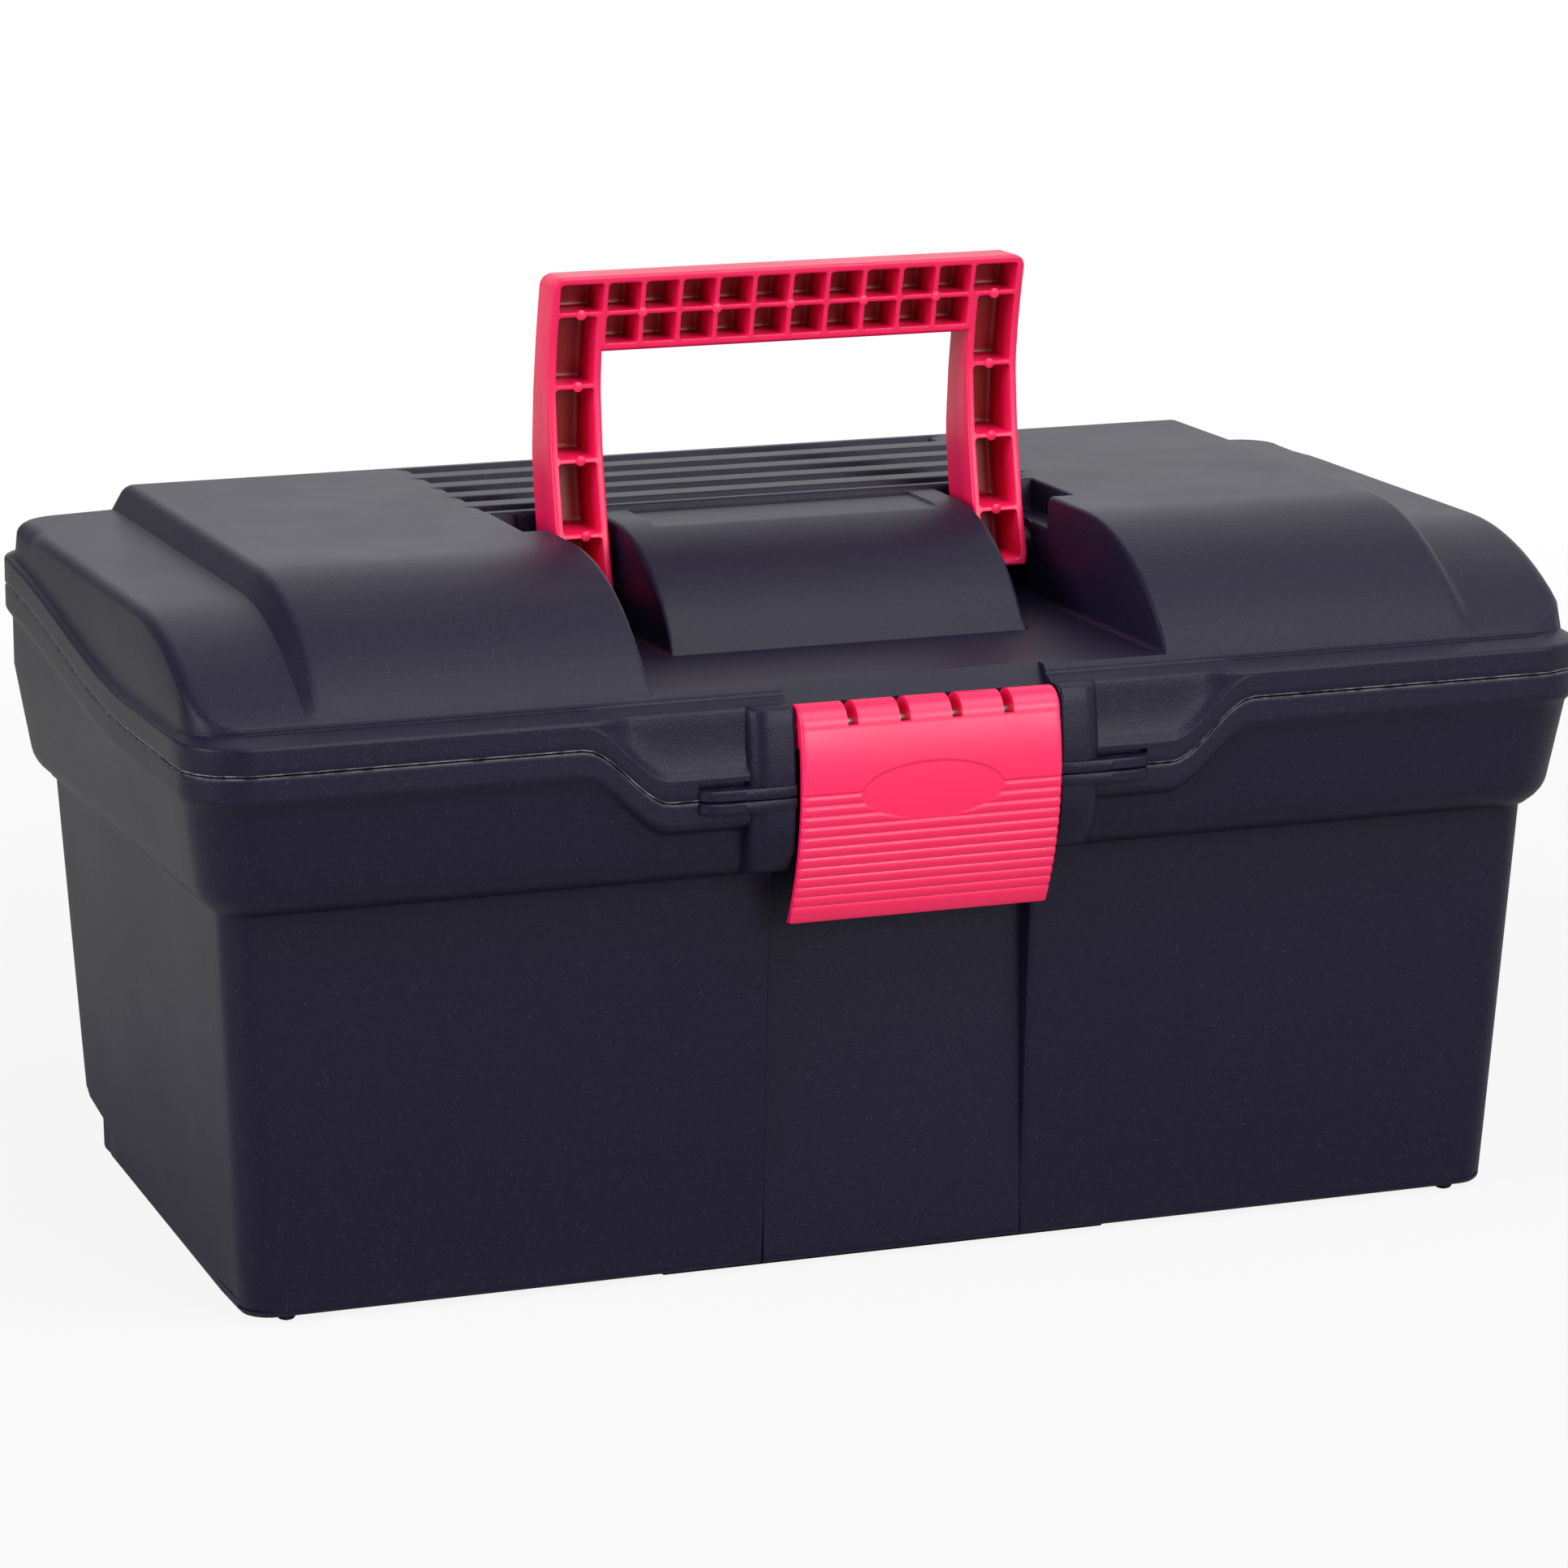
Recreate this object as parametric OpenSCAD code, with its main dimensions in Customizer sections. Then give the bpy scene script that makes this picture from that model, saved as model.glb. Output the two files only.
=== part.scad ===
// Horse grooming box: a moulded tub with a hinged, domed lid, a folding carrying handle,
// a front latch and a lift-out tray. X runs along the length, -Y is the front, Z is up.
// The origin is the middle of the base, at the level that the feet stand on.

/* [Rim] */
// Length of the rim along X
rim_l = 400; // [380:1:430]
// Depth of the rim along Y
rim_d = 217; // [210:1:235]
// Corner radius of the rim seen from above
rim_r = 17; // [14:1:22]
// Height of the parting line at the front
part_z = 153.2; // [148:0.2:158]
// Rise of the parting line from the front to the back
part_rise = 15.4; // [10:0.2:18]
// Gap between the lid and the tub along the parting line
part_gap = 0.4; // [0.3:0.1:0.6]
// Drop of the parting line around the latch
dip = 16; // [13:0.5:18]
// Distance from the middle to the outer end of the drop's slope
dip_out = 95.7; // [90:0.1:105]
// Distance from the middle to the inner end of the drop's slope
dip_in = 71.3; // [68:0.1:78]
// Height of the raised band on each side of the parting line
band_h = 8; // [6:0.5:9]
// How far the band stands proud of the skirt below it
band_proud = 1.6; // [1:0.1:2.2]

/* [Walls] */
// Thickness of the moulded walls
wall = 2.5; // [2:0.1:3]

/* [Tub] */
// Height of the skirt's underside
skirt_z = 113.6; // [108:0.2:117]
// Step from the rim's end face in to the tub's end wall at the skirt
step_x = 11.3; // [10:0.1:14]
// Step from the rim's front face in to the tub's front wall at the skirt
step_y = 15.5; // [14:0.1:18]
// Draft of each end wall from the skirt down to the base
draft_x = 6; // [3:0.1:9]
// Draft of the front and back walls from the skirt down to the base
draft_y = 7.2; // [4:0.1:9]
// Corner radius of the tub's upright edges
tub_r = 9; // [6:0.5:11]
// Radius of the skirt's rounded lower edge
skirt_round = 8; // [6:0.5:9]
// Lean of the skirt's face, in mm per mm of height
skirt_lean = 0.15; // [0.1:0.01:0.2]
// Height of the tray's shelf above the skirt's underside
shelf_h = 3.2; // [3:0.1:4]
// Chamfer round the base's edge
base_chamfer = 2; // [1:0.1:3]
// Length of the foot pad under the base
pad_l = 130; // [100:1:150]
// Depth of the foot pad
pad_d = 162; // [140:1:164]
// Height of the feet
foot_h = 1.6; // [1:0.1:3]
// Radius of the corner feet
pip_r = 2.5; // [2:0.1:4]
// Distance of the corner feet from the end walls
pip_in_x = 12; // [11:0.5:16]
// Distance of the corner feet from the front and back walls
pip_in_y = 8; // [7:0.5:14]
// Height, at the back, of the cut at the foot of each end wall
heel_h = 16; // [10:1:24]
// Depth of that cut
heel_in = 5; // [3:0.5:7]
// Distance from the middle to the cut's front end
heel_front = 60; // [40:1:70]

/* [Lid] */
// Height of the raised platform's top above the front parting line
top_h = 41.8; // [41:0.2:46]
// Height of the end plateaus beside the platform, above the same line
plateau_h = 36.6; // [35:0.2:38]
// Height of the end plateaus at their outer edge, above the same line
plateau_edge_h = 34; // [32:0.2:35]
// Radius of the plateaus' outer edge
plateau_r = 6; // [4:0.5:8]
// Height of the dome's foot above the front parting line
ledge_h = 10.8; // [9.5:0.1:12]
// Step from the rim's end face in to the lid's end wall
lid_step_x = 2.5; // [2:0.1:4]
// Step from the rim's front face in to the dome's foot
lid_step_y = 8.5; // [7.5:0.1:10]
// Width of the lower step on top of the rim's band
rim_step = 3; // [1:0.5:5]
// Height of that step
rim_step_h = 1.8; // [1:0.1:2.4]
// Place of the line where the dome's curve starts
dome_y = -40; // [-50:1:-30]
// Radius of the lid's top back edge
back_r = 8; // [6:0.5:12]
// Half length of the platform's top
platform_x = 165; // [150:1:170]
// Length of the slope at each end of the platform
platform_slope = 7; // [4:0.5:10]

/* [Channel for the folded handle] */
// Half width of the channel
channel_x = 73.6; // [72.5:0.1:76]
// Place of the channel's back wall
channel_back = 12; // [10:0.5:14]
// Height of the channel's floor above the front parting line
floor_h = 12; // [11.4:0.1:12.6]
// Half width of the block in the middle of the channel
block_x = 52; // [46:0.5:53]
// Height of the block's top above the front parting line
block_h = 40.7; // [37:0.1:41]
// Place of the block's foot at the front
block_y = -54; // [-58:1:-48]
// Place of the line where the block's curve starts
block_arc_y = -4; // [-8:1:4]
// Depth of the shallow recess in the block's top
recess_depth = 0.8; // [0.5:0.1:1.2]
// Half length of that recess
recess_x = 42; // [30:1:45]
// Front of that recess
recess_y = -22; // [-26:1:-16]
// Reach of each notch past the channel's side wall
notch_x = 7.5; // [5:0.5:9]
// Front of the notch
notch_y = -17; // [-20:1:-14]
// Depth of the notch below the lid's top
notch_depth = 9; // [6:0.5:9]

/* [Grooves in the lid] */
// Number of grooves behind the handle
groove_n = 5; // [3:1:5]
// Spacing of the grooves
groove_pitch = 16.5; // [14:0.1:16.8]
// Place of the groove next to the handle
groove_y = 20; // [19:0.5:21]
// Width of a groove
groove_w = 8; // [5:0.5:9]
// Depth of a groove
groove_depth = 4; // [2:0.5:5]
// Half length of a groove
groove_x = 80; // [60:1:100]

/* [Handle] */
// Half width of the handle at its legs
handle_x = 68.4; // [66:0.1:70]
// Width of a leg
leg_w = 13.3; // [11:0.1:14]
// Thickness of the handle from front to back
handle_t = 13; // [11:0.5:14]
// Reach of the handle above its pivot
handle_reach = 83.3; // [78:0.1:86]
// Height of the grip
grip_h = 21.5; // [18:0.5:24]
// Backward bow of the legs at mid height
leg_bow = 4.5; // [3:0.5:6]
// Place of the pivot from front to back
pivot_y = -2; // [-4:0.5:0]
// Forward set of the handle from its pivot
handle_set = 1.5; // [0:0.1:2]
// Height of the pivot above the channel's floor
pivot_h = 14.3; // [13.6:0.1:14.6]
// Length of each leg below its pivot
leg_end = 4.5; // [4:0.1:6]
// Radius of the pivot stubs
stub_r = 3; // [2.5:0.1:3.2]
// Length of a stub beyond its leg
stub_l = 12; // [10:0.1:12.5]
// Wall around the stub's bore
boss_wall = 3.5; // [2.5:0.1:4]
// Length of the boss behind the channel's side wall
boss_l = 8; // [6:0.5:10]
// Rows of pockets in the grip
pocket_rows = 2; // [1:1:3]
// Number of pockets in a row
pocket_n = 10; // [6:1:12]
// Thickness of the handle's outer walls
handle_wall = 2.2; // [1.8:0.1:2.6]
// Thickness of the ribs between the pockets
handle_rib = 1.4; // [1:0.1:2]
// Number of pockets in a leg below the corner
leg_pockets = 4; // [3:1:4]
// Spacing of the pockets in a leg
leg_pitch = 20.3; // [17:0.1:20.5]

/* [Latch] */
// Half width of the latch
latch_x = 37; // [34:0.5:40]
// Gap at each side of the latch
latch_gap = 0.6; // [0.4:0.1:1]
// Height of the latch's pivot above the front parting line
latch_h = 1.9; // [1:0.1:3]
// Distance of the latch's pivot behind the rim's front face
latch_back = 2; // [1.8:0.1:2.2]
// Radius of the latch's rounded top
latch_top_r = 6; // [5:0.1:6.1]
// How far the latch's belly stands out of the rim's front face
latch_belly = 5.8; // [5:0.1:7]
// Drop of the belly below the pivot
belly_down = 15; // [12:0.5:18]
// Drop of the latch's lower edge below the pivot
latch_drop = 53.5; // [50:0.5:58]
// How far the latch's lower edge lies behind the rim's front face
latch_tail = 4.5; // [3:0.5:6]
// Thickness of the latch's plate
latch_t = 2.8; // [2.2:0.1:3.2]
// Number of grip ribs
rib_n = 12; // [8:1:13]
// Spacing of the grip ribs
rib_pitch = 2.9; // [2.2:0.1:2.9]
// Depth of the grip ribs
rib_depth = 0.7; // [0.4:0.1:1]
// Height of the step over each grip rib
rib_lip = 0.35; // [0.2:0.05:0.6]
// Number of notches in the top edge
slot_n = 4; // [2:1:4]
// Spacing of those notches
slot_pitch = 14.8; // [10:0.1:16]
// Width of a notch
slot_w = 3; // [2:0.1:4]
// Depth of a notch below the latch's top
slot_h = 4; // [3:0.1:4.3]
// Radius of the latch pin
latch_pin_r = 1.5; // [1.2:0.1:1.8]
// Width of each post beside the latch
post_w = 10; // [8:0.5:12]
// How far the posts stand out of the rim's front face
post_out = 4; // [3.4:0.1:4.6]
// Length of the lower posts on the tub
post_down = 21.5; // [17:0.5:22]
// Depth of the blind end of the pin's bore in each post
pin_cover = 1.6; // [1:0.1:2.5]
// Half width of the catch and its hook
catch_x = 14; // [10:0.5:20]
// Reach of the catch, as a distance behind the rim's front face
catch_back = 5; // [4:0.5:7]
// Height of the catch and of the hook
catch_h = 4; // [3:0.5:5]
// Drop of the hook's top below the latch's pivot
hook_down = 34; // [30:0.5:38]
// Running gap between the hook and the catch
catch_gap = 0.4; // [0.3:0.1:0.8]

/* [Padlock tabs] */
// Distance of the padlock holes beyond the posts
tab_l = 8; // [7:0.5:10]
// Thickness of each tab
tab_t = 3.5; // [2.5:0.1:4]
// Radius of the padlock hole
tab_hole_r = 2.2; // [1.8:0.1:2.4]
// Width of the tab around its hole
tab_wall = 2.2; // [1.8:0.1:2.4]
// Height of the recess over each padlock tab
tab_recess_h = 4; // [3:0.5:5]
// Widening of the padlock hole below the tabs
tab_relief = 1; // [0.5:0.1:1.2]

/* [Hinges] */
// Distance of each hinge from the middle
hinge_x = 110; // [80:1:140]
// Length of the lid's knuckle
knuckle_l = 22; // [16:1:30]
// Length of each of the tub's knuckles
ear_l = 10; // [8:1:14]
// Radius of the knuckles
knuckle_r = 4; // [3.6:0.1:4.5]
// Radius of the hinge pins
hinge_pin_r = 2; // [1.5:0.1:2.4]
// Gap between knuckles along the pin
knuckle_gap = 0.5; // [0.3:0.1:1]
// Gap between the knuckles and the rim in front of them
knuckle_clear = 0.6; // [0.5:0.1:1]

/* [Fits] */
// Radial running clearance of a pin or stub that turns
run_clear = 0.06; // [0.03:0.01:0.09]
// Radial clearance of a pin in the piece that holds it
hold_clear = 0.02; // [0.01:0.01:0.03]

/* [Tray] */
// Depth of the tray below its rim
tray_h = 46; // [36:1:56]
// Thickness of the tray's walls
tray_wall = 2; // [1.6:0.1:2.4]
// Gap between the tray and the tub's walls
tray_gap = 3; // [2:0.5:5]
// Gap under the tray's rim
seat_gap = 0.3; // [0.2:0.1:0.5]
// Clearance of the tray's rim from the skirt's inside
tray_rim_clear = 0.8; // [0.5:0.1:1.2]
// Height of the tray's grip above its rim
tray_grip_up = 22; // [18:1:24]
// Half length of the tray's grip
tray_grip_x = 62; // [56:1:75]
// Thickness of the tray's middle wall and grip
tray_grip_t = 5; // [4:0.5:7]
// Half length of the grip's hand hole
hand_x = 48; // [42:1:50]
// Height of the hand hole
hand_h = 26; // [22:1:28]
// Height of the bar over the hand hole
hand_bar = 8; // [6:0.5:10]
// Radius of the pegs that hold the grip in the tray
peg_r = 1.4; // [1:0.1:1.6]
// Length of those pegs
peg_l = 8; // [5:0.5:10]
// Distance of each cross wall from the middle
tray_cross_x = 95; // [80:1:120]

/* [Hidden] */
$fn = 48;
navy = "#2a2838";
pink = "#f2305f";
steel = "#b9bcc0";
grey = "#55565c";
corner_n = 6;
arc_n = 9;
slope_n = 8;
// Reach of a cut that runs right through, and overshoot of one that stops past a face
far = rim_l;
over = 1;
half_l = rim_l / 2;
half_d = rim_d / 2;
crease_z = part_z - band_h;
dip_z = part_z - dip;
hinge_z = part_z + part_rise;
sky = hinge_z + far;
pocket_x = latch_x + latch_gap;
post_x = pocket_x + post_w;
tab_x = post_x + tab_l;
tab_r = tab_hole_r + tab_wall;
tab_y = tab_r - post_out - half_d;
flange_t = band_proud + wall;
body_x = half_l - lid_step_x;
body_y = half_d - lid_step_y;
body_r = rim_r - lid_step_x;
foot_z = part_z + ledge_h;
top_z = part_z + top_h;
plateau_z = part_z + plateau_h;
plateau_edge_z = part_z + plateau_edge_h;
floor_z = part_z + floor_h;
block_z = part_z + block_h;
panel_y = half_d - step_y - draft_y;
latch_y = latch_back - half_d;
latch_z = part_z + latch_h;
hook_z = latch_z - hook_down;
catch_y = catch_back - half_d;
pivot_z = floor_z + pivot_h;
handle_z = pivot_z + handle_reach;
handle_low = pivot_z - leg_end;
leg_in = handle_x - leg_w;
hinge_y = half_d + knuckle_r + knuckle_clear;
pin_half = knuckle_l / 2 + knuckle_gap + ear_l;
platform_foot = platform_x + platform_slope;

function ease(t) = let(u = min(1, max(0, t))) u * u * (3 - 2 * u);
function side_line(y) = part_z + part_rise * ease((y - dome_y) / (body_y - dome_y));
function front_line(x) = part_z - dip * ease((dip_out - abs(x)) / (dip_out - dip_in));
function arc(y, z, r, a0, a1) =
    [for (i = [0 : arc_n]) let(a = a0 + (a1 - a0) * i / arc_n) [y + r * cos(a), z + r * sin(a)]];

// Points of a rounded rectangle, anticlockwise from above
function round_rect(hx, hy, r) = [
    for (c = [0 : 3]) let(sx = (c == 0 || c == 3) ? 1 : -1, sy = c < 2 ? 1 : -1)
    for (k = [0 : corner_n]) let(a = 90 * (c + k / corner_n))
    [sx * (hx - r) + r * cos(a), sy * (hy - r) + r * sin(a)]
];

// Half length and half depth of the tub at a height, and the skirt's face there
function wall_draft(z) = 1 - (min(z, skirt_z) - foot_h) / (skirt_z - foot_h);
function tub_x(z) = half_l - step_x - draft_x * wall_draft(z);
function tub_y(z) = half_d - step_y - draft_y * wall_draft(z);
function skirt_face(half, z) = half - band_proud - skirt_lean * max(0, crease_z - z);

// Sections of the tub, bottom to top: height, half length, half depth, corner radius.
// The skirt's rounded underside starts at the wall, so its sections never lie inside the wall.
base_top = foot_h + base_chamfer;
round_top = skirt_z + skirt_round;
rim_top = hinge_z + over;
outer_sections = concat(
    [[foot_h, tub_x(foot_h) - base_chamfer, tub_y(foot_h) - base_chamfer, tub_r - base_chamfer],
     [base_top, tub_x(base_top), tub_y(base_top), tub_r],
     [skirt_z, tub_x(skirt_z), tub_y(skirt_z), tub_r]],
    [for (a = [15 : 15 : 90]) let(z = skirt_z + skirt_round * (1 - cos(a)), in = skirt_round * (1 - sin(a)))
        [z, max(tub_x(skirt_z) + sin(a) / 2, skirt_face(half_l, z) - in),
            max(tub_y(skirt_z) + sin(a) / 2, skirt_face(half_d, z) - in),
            tub_r + (rim_r - tub_r) * sin(a)]],
    [[crease_z, half_l - band_proud, half_d - band_proud, rim_r],
     [rim_top, half_l - band_proud, half_d - band_proud, rim_r]]
);

// Sections of the space inside the tub, with the flat shelf that the tray rests on
floor_in = foot_h + wall;
shelf_z = skirt_z + shelf_h;
shelf_in = skirt_round * (1 - sin(acos(1 - shelf_h / skirt_round))) + wall;
shelf_x = skirt_face(half_l, shelf_z) - shelf_in;
shelf_y = skirt_face(half_d, shelf_z) - shelf_in;
in_r = tub_r - wall;
skirt_in_r = rim_r - wall;
lower_sections = [
    [floor_in, tub_x(floor_in) - wall, tub_y(floor_in) - wall, in_r],
    [shelf_z + over, tub_x(skirt_z) - wall, tub_y(skirt_z) - wall, in_r]
];
upper_sections = [
    [shelf_z, shelf_x, shelf_y, skirt_in_r],
    [round_top, skirt_face(half_l, round_top) - wall, skirt_face(half_d, round_top) - wall, skirt_in_r],
    [crease_z, half_l - band_proud - wall, half_d - band_proud - wall, skirt_in_r],
    [rim_top + over, half_l - band_proud - wall, half_d - band_proud - wall, skirt_in_r]
];

// Solid through a stack of rounded rectangles
module loft(sections) {
    n = 4 * (corner_n + 1);
    last = len(sections) - 1;
    points = [for (s = sections) for (p = round_rect(s[1], s[2], s[3])) [p[0], p[1], s[0]]];
    sides = [
        for (k = [0 : last - 1]) for (i = [0 : n - 1])
        let(j = (i + 1) % n, a = k * n, b = a + n)
        each [[a + i, b + i, b + j], [a + i, b + j, a + j]]
    ];
    base = [for (i = [0 : n - 1]) i];
    cap = [for (i = [n - 1 : -1 : 0]) last * n + i];
    polyhedron(points, concat([base, cap], sides));
}

// Extrusion of a side view, given as [y, z] points, between two places along X
module along_x(x0, x1) {
    translate([x0, 0, 0]) rotate([90, 0, 90]) linear_extrude(x1 - x0) children();
}

// Extrusion of a front view, given as [x, z] points, between two places along Y
module along_y(y0, y1) {
    translate([0, y1, 0]) rotate([90, 0, 0]) linear_extrude(y1 - y0) children();
}

module block(low, high) {
    translate(low) cube(high - low);
}

module both_ends() {
    children();
    mirror([1, 0, 0]) children();
}

module rod(x0, x1, y, z, r) {
    translate([x0, y, z]) rotate([0, 90, 0]) cylinder(h = x1 - x0, r = r);
}

// Space between two offsets from the side parting line, right across the box
module side_band(low, high) {
    ys = concat([-far], [for (i = [0 : 2 * slope_n]) dome_y + (body_y - dome_y) * i / (2 * slope_n)], [far]);
    along_x(-far, far) polygon(concat(
        [for (y = ys) [y, side_line(y) + low]],
        [for (i = [len(ys) - 1 : -1 : 0]) [ys[i], side_line(ys[i]) + high]]
    ));
}

// Places along X where the front parting line bends down to the latch
dip_xs = concat(
    [for (i = [slope_n : -1 : 0]) -dip_in - (dip_out - dip_in) * i / slope_n],
    [for (i = [0 : slope_n]) dip_in + (dip_out - dip_in) * i / slope_n]
);

// Front view of the strip between two offsets from that line
module dip_strip(low, high) {
    polygon(concat(
        [for (x = dip_xs) [x, front_line(x) + low]],
        [for (i = [len(dip_xs) - 1 : -1 : 0]) [dip_xs[i], front_line(dip_xs[i]) + high]]
    ));
}

// Front view of the space between that line and a level above it
module dip_opening(low, level) {
    polygon(concat([for (x = dip_xs) [x, front_line(x) + low]], [[dip_out, level], [-dip_out, level]]));
}

module rim_prism() {
    linear_extrude(sky) polygon(round_rect(half_l, half_d, rim_r));
}

// Parts of the tub

module tub() {
    color(navy) difference() {
        union() {
            tub_shell();
            both_ends() lower_post();
            both_ends() tab(dip_z - tab_t, dip_z);
            both_ends() tub_knuckles();
        }
        latch_pocket();
        both_ends() heel_cut(0);
        both_ends() padlock_hole();
        both_ends() rod(hinge_x - pin_half - over, hinge_x + pin_half + over, hinge_y, hinge_z,
            hinge_pin_r + hold_clear);
    }
    color(navy) tub_catch();
    color(navy) feet();
}

module tub_shell() {
    difference() {
        union() {
            intersection() {
                loft(outer_sections);
                side_band(-far, 0);
            }
            intersection() {
                rim_prism();
                side_band(-band_h, 0);
            }
            along_y(-half_d, flange_t - half_d) dip_strip(-band_h, 0);
        }
        difference() {
            union() {
                loft(lower_sections);
                loft(upper_sections);
            }
            panel_wall();
            both_ends() heel_cut(wall);
        }
        along_y(-half_d - over, step_y - half_d) dip_opening(0, sky);
    }
}

// The latch stands in a pocket whose back is the upright front panel, roofed at its top
module latch_pocket() {
    block([-pocket_x, -far, base_top], [pocket_x, -panel_y, dip_z - wall]);
    block([-pocket_x, -far, base_top], [pocket_x, -body_y, sky]);
}

module panel_wall() {
    block([-pocket_x - wall, -far, 0], [pocket_x + wall, wall - panel_y, dip_z]);
}

// Wedge cut off an end wall's foot, highest at the back; cover leaves a wall round it inside
module heel_cut(cover) {
    along_x(tub_x(foot_h) - heel_in - cover, half_l) polygon([
        [-heel_front, foot_h + cover], [half_d, foot_h + heel_h + cover],
        [half_d, -over], [-heel_front, -over]
    ]);
}

module lower_post() {
    along_x(pocket_x, post_x) polygon([
        [-half_d - post_out, dip_z], [band_proud - half_d, dip_z - post_down],
        [step_y - half_d, dip_z - post_down], [step_y - half_d, dip_z]
    ]);
}

module tab(z0, z1) {
    translate([0, 0, z0]) linear_extrude(z1 - z0) {
        translate([pocket_x, -half_d - post_out]) square([tab_x - pocket_x, post_out + band_proud]);
        translate([tab_x, tab_y]) circle(tab_r);
    }
}

module padlock_hole() {
    z0 = dip_z - band_h - over;
    z1 = dip_z + part_gap + tab_t + over;
    translate([tab_x, tab_y, z0]) {
        cylinder(h = z1 - z0, r = tab_hole_r);
        cylinder(h = dip_z - tab_t - z0, r = tab_hole_r + tab_relief);
    }
}

module tub_catch() {
    block([-catch_x, catch_y, hook_z + catch_gap], [catch_x, wall - panel_y, hook_z + catch_gap + catch_h]);
}

module tub_knuckles() {
    for (x = [hinge_x - pin_half, hinge_x + pin_half - ear_l]) {
        rod(x, x + ear_l, hinge_y, hinge_z, knuckle_r);
        along_x(x, x + ear_l) polygon([
            [hinge_y, hinge_z], [hinge_y, hinge_z - knuckle_r],
            [half_d - band_proud, hinge_z - band_h], [half_d - band_proud, hinge_z - part_gap]
        ]);
    }
}

module feet() {
    block([-pad_l / 2, -pad_d / 2, 0], [pad_l / 2, pad_d / 2, foot_h]);
    for (x = [-1, 1], y = [-1, 1])
        translate([x * (tub_x(foot_h) - pip_in_x), y * (tub_y(foot_h) - pip_in_y), 0])
            cylinder(h = foot_h, r = pip_r);
}

// Parts of the lid

// Side view of the lid under a given top, inset by a wall where asked
function dome(top, inset) = let(
    a = dome_y + body_y, h = top - foot_z, r = (a * a + h * h) / (2 * h), low = 0
) concat(
    arc(dome_y, top - r, r - inset, acos((inset - a) / (r - inset)), 90),
    arc(body_y - back_r, top - back_r, back_r - inset, 90, 0),
    [[body_y - inset, low], [inset - body_y, low]]
);

// Half of the front view of the end plateau and of the platform, from the outside in
function plateau_half(inset) = concat(
    [[body_x - inset, 0]],
    arc(body_x - plateau_r, plateau_edge_z - plateau_r, plateau_r - inset, 0, 90),
    [[platform_foot - inset, plateau_z - inset]]
);
function platform_half(inset) = [
    [platform_x - inset, 0], [platform_x - inset, foot_z],
    [platform_foot - inset, plateau_z - inset], [platform_x - inset, top_z]
];
function both_sides(half) = concat(half, [for (i = [len(half) - 1 : -1 : 0]) [-half[i][0], half[i][1]]]);

// The lid's main form, or the space inside it
module lid_form(inset) {
    intersection() {
        along_x(-body_x, body_x) polygon(dome(plateau_z, inset));
        along_y(-half_d, half_d) polygon(both_sides(plateau_half(inset)));
        linear_extrude(sky) polygon(round_rect(body_x - inset, body_y - inset, body_r - inset));
    }
    intersection() {
        along_x(-platform_foot, platform_foot) polygon(dome(top_z, inset));
        along_y(-half_d, half_d) polygon(both_sides(platform_half(inset)));
    }
}

// Side view of the block in the channel
module block_form(inset) {
    a = block_arc_y - block_y;
    h = block_z - floor_z;
    r = (a * a + h * h) / (2 * h);
    low = floor_z - (inset > 0 ? wall + over : 0);
    along_x(inset - block_x, block_x - inset) polygon(concat(
        arc(block_arc_y, block_z - r, r - inset, acos((inset - a) / (r - inset)), 90),
        [[channel_back + over, block_z - inset], [channel_back + over, low], [block_y + inset, low]]
    ));
}

// The channel that the folded handle lies in, or the walls around it
module channel_form(cover) {
    block([-channel_x - cover, -far, floor_z - cover], [channel_x + cover, channel_back + cover, sky]);
    both_ends() block([channel_x - over, notch_y - cover, top_z - notch_depth - cover],
        [channel_x + notch_x + cover, channel_back + cover, sky]);
}

module grooves(cover) {
    for (i = [0 : groove_n - 1]) translate([0, groove_y + i * groove_pitch, 0])
        block([-groove_x - cover, -groove_w / 2 - cover, top_z - groove_depth - cover],
            [groove_x + cover, groove_w / 2 + cover, sky]);
}

module lid() {
    color(navy) difference() {
        union() {
            difference() {
                union() {
                    intersection() {
                        lid_form(0);
                        side_band(part_gap, far);
                    }
                    rim_band();
                    along_y(-half_d, wall - body_y) dip_opening(part_gap, part_z + band_h);
                }
                difference() {
                    lid_form(wall);
                    channel_form(wall);
                    grooves(wall);
                }
                difference() {
                    block_form(wall);
                    block([-far, channel_back, 0], [far, far, sky]);
                }
                flange_hollow();
            }
            both_ends() upper_post();
            both_ends() tab(dip_z + part_gap, dip_z + part_gap + tab_t);
            both_ends() rod(channel_x, channel_x + boss_l, pivot_y, pivot_z, stub_r + boss_wall);
            both_ends() lid_knuckle();
        }
        difference() {
            channel_form(0);
            block_form(0);
        }
        block([-recess_x, recess_y, block_z - recess_depth], [recess_x, channel_back, sky]);
        grooves(0);
        block([-pocket_x, -far, 0], [pocket_x, -body_y, sky]);
        both_ends() rod(channel_x - over, channel_x + boss_l + over, pivot_y, pivot_z, stub_r + run_clear);
        both_ends() tab_recess();
        rod(pin_cover - post_x, post_x - pin_cover, latch_y, latch_z, latch_pin_r + hold_clear);
        both_ends() padlock_hole();
        both_ends() rod(hinge_x - pin_half, hinge_x + pin_half, hinge_y, hinge_z, hinge_pin_r + run_clear);
    }
}

// The lid's half of the raised band, stepped on top
module rim_band() {
    intersection() {
        rim_prism();
        side_band(part_gap, band_h);
    }
    intersection() {
        linear_extrude(sky) polygon(round_rect(half_l - lid_step_x, half_d - rim_step, body_r));
        side_band(part_gap, band_h + rim_step_h);
    }
}

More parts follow.
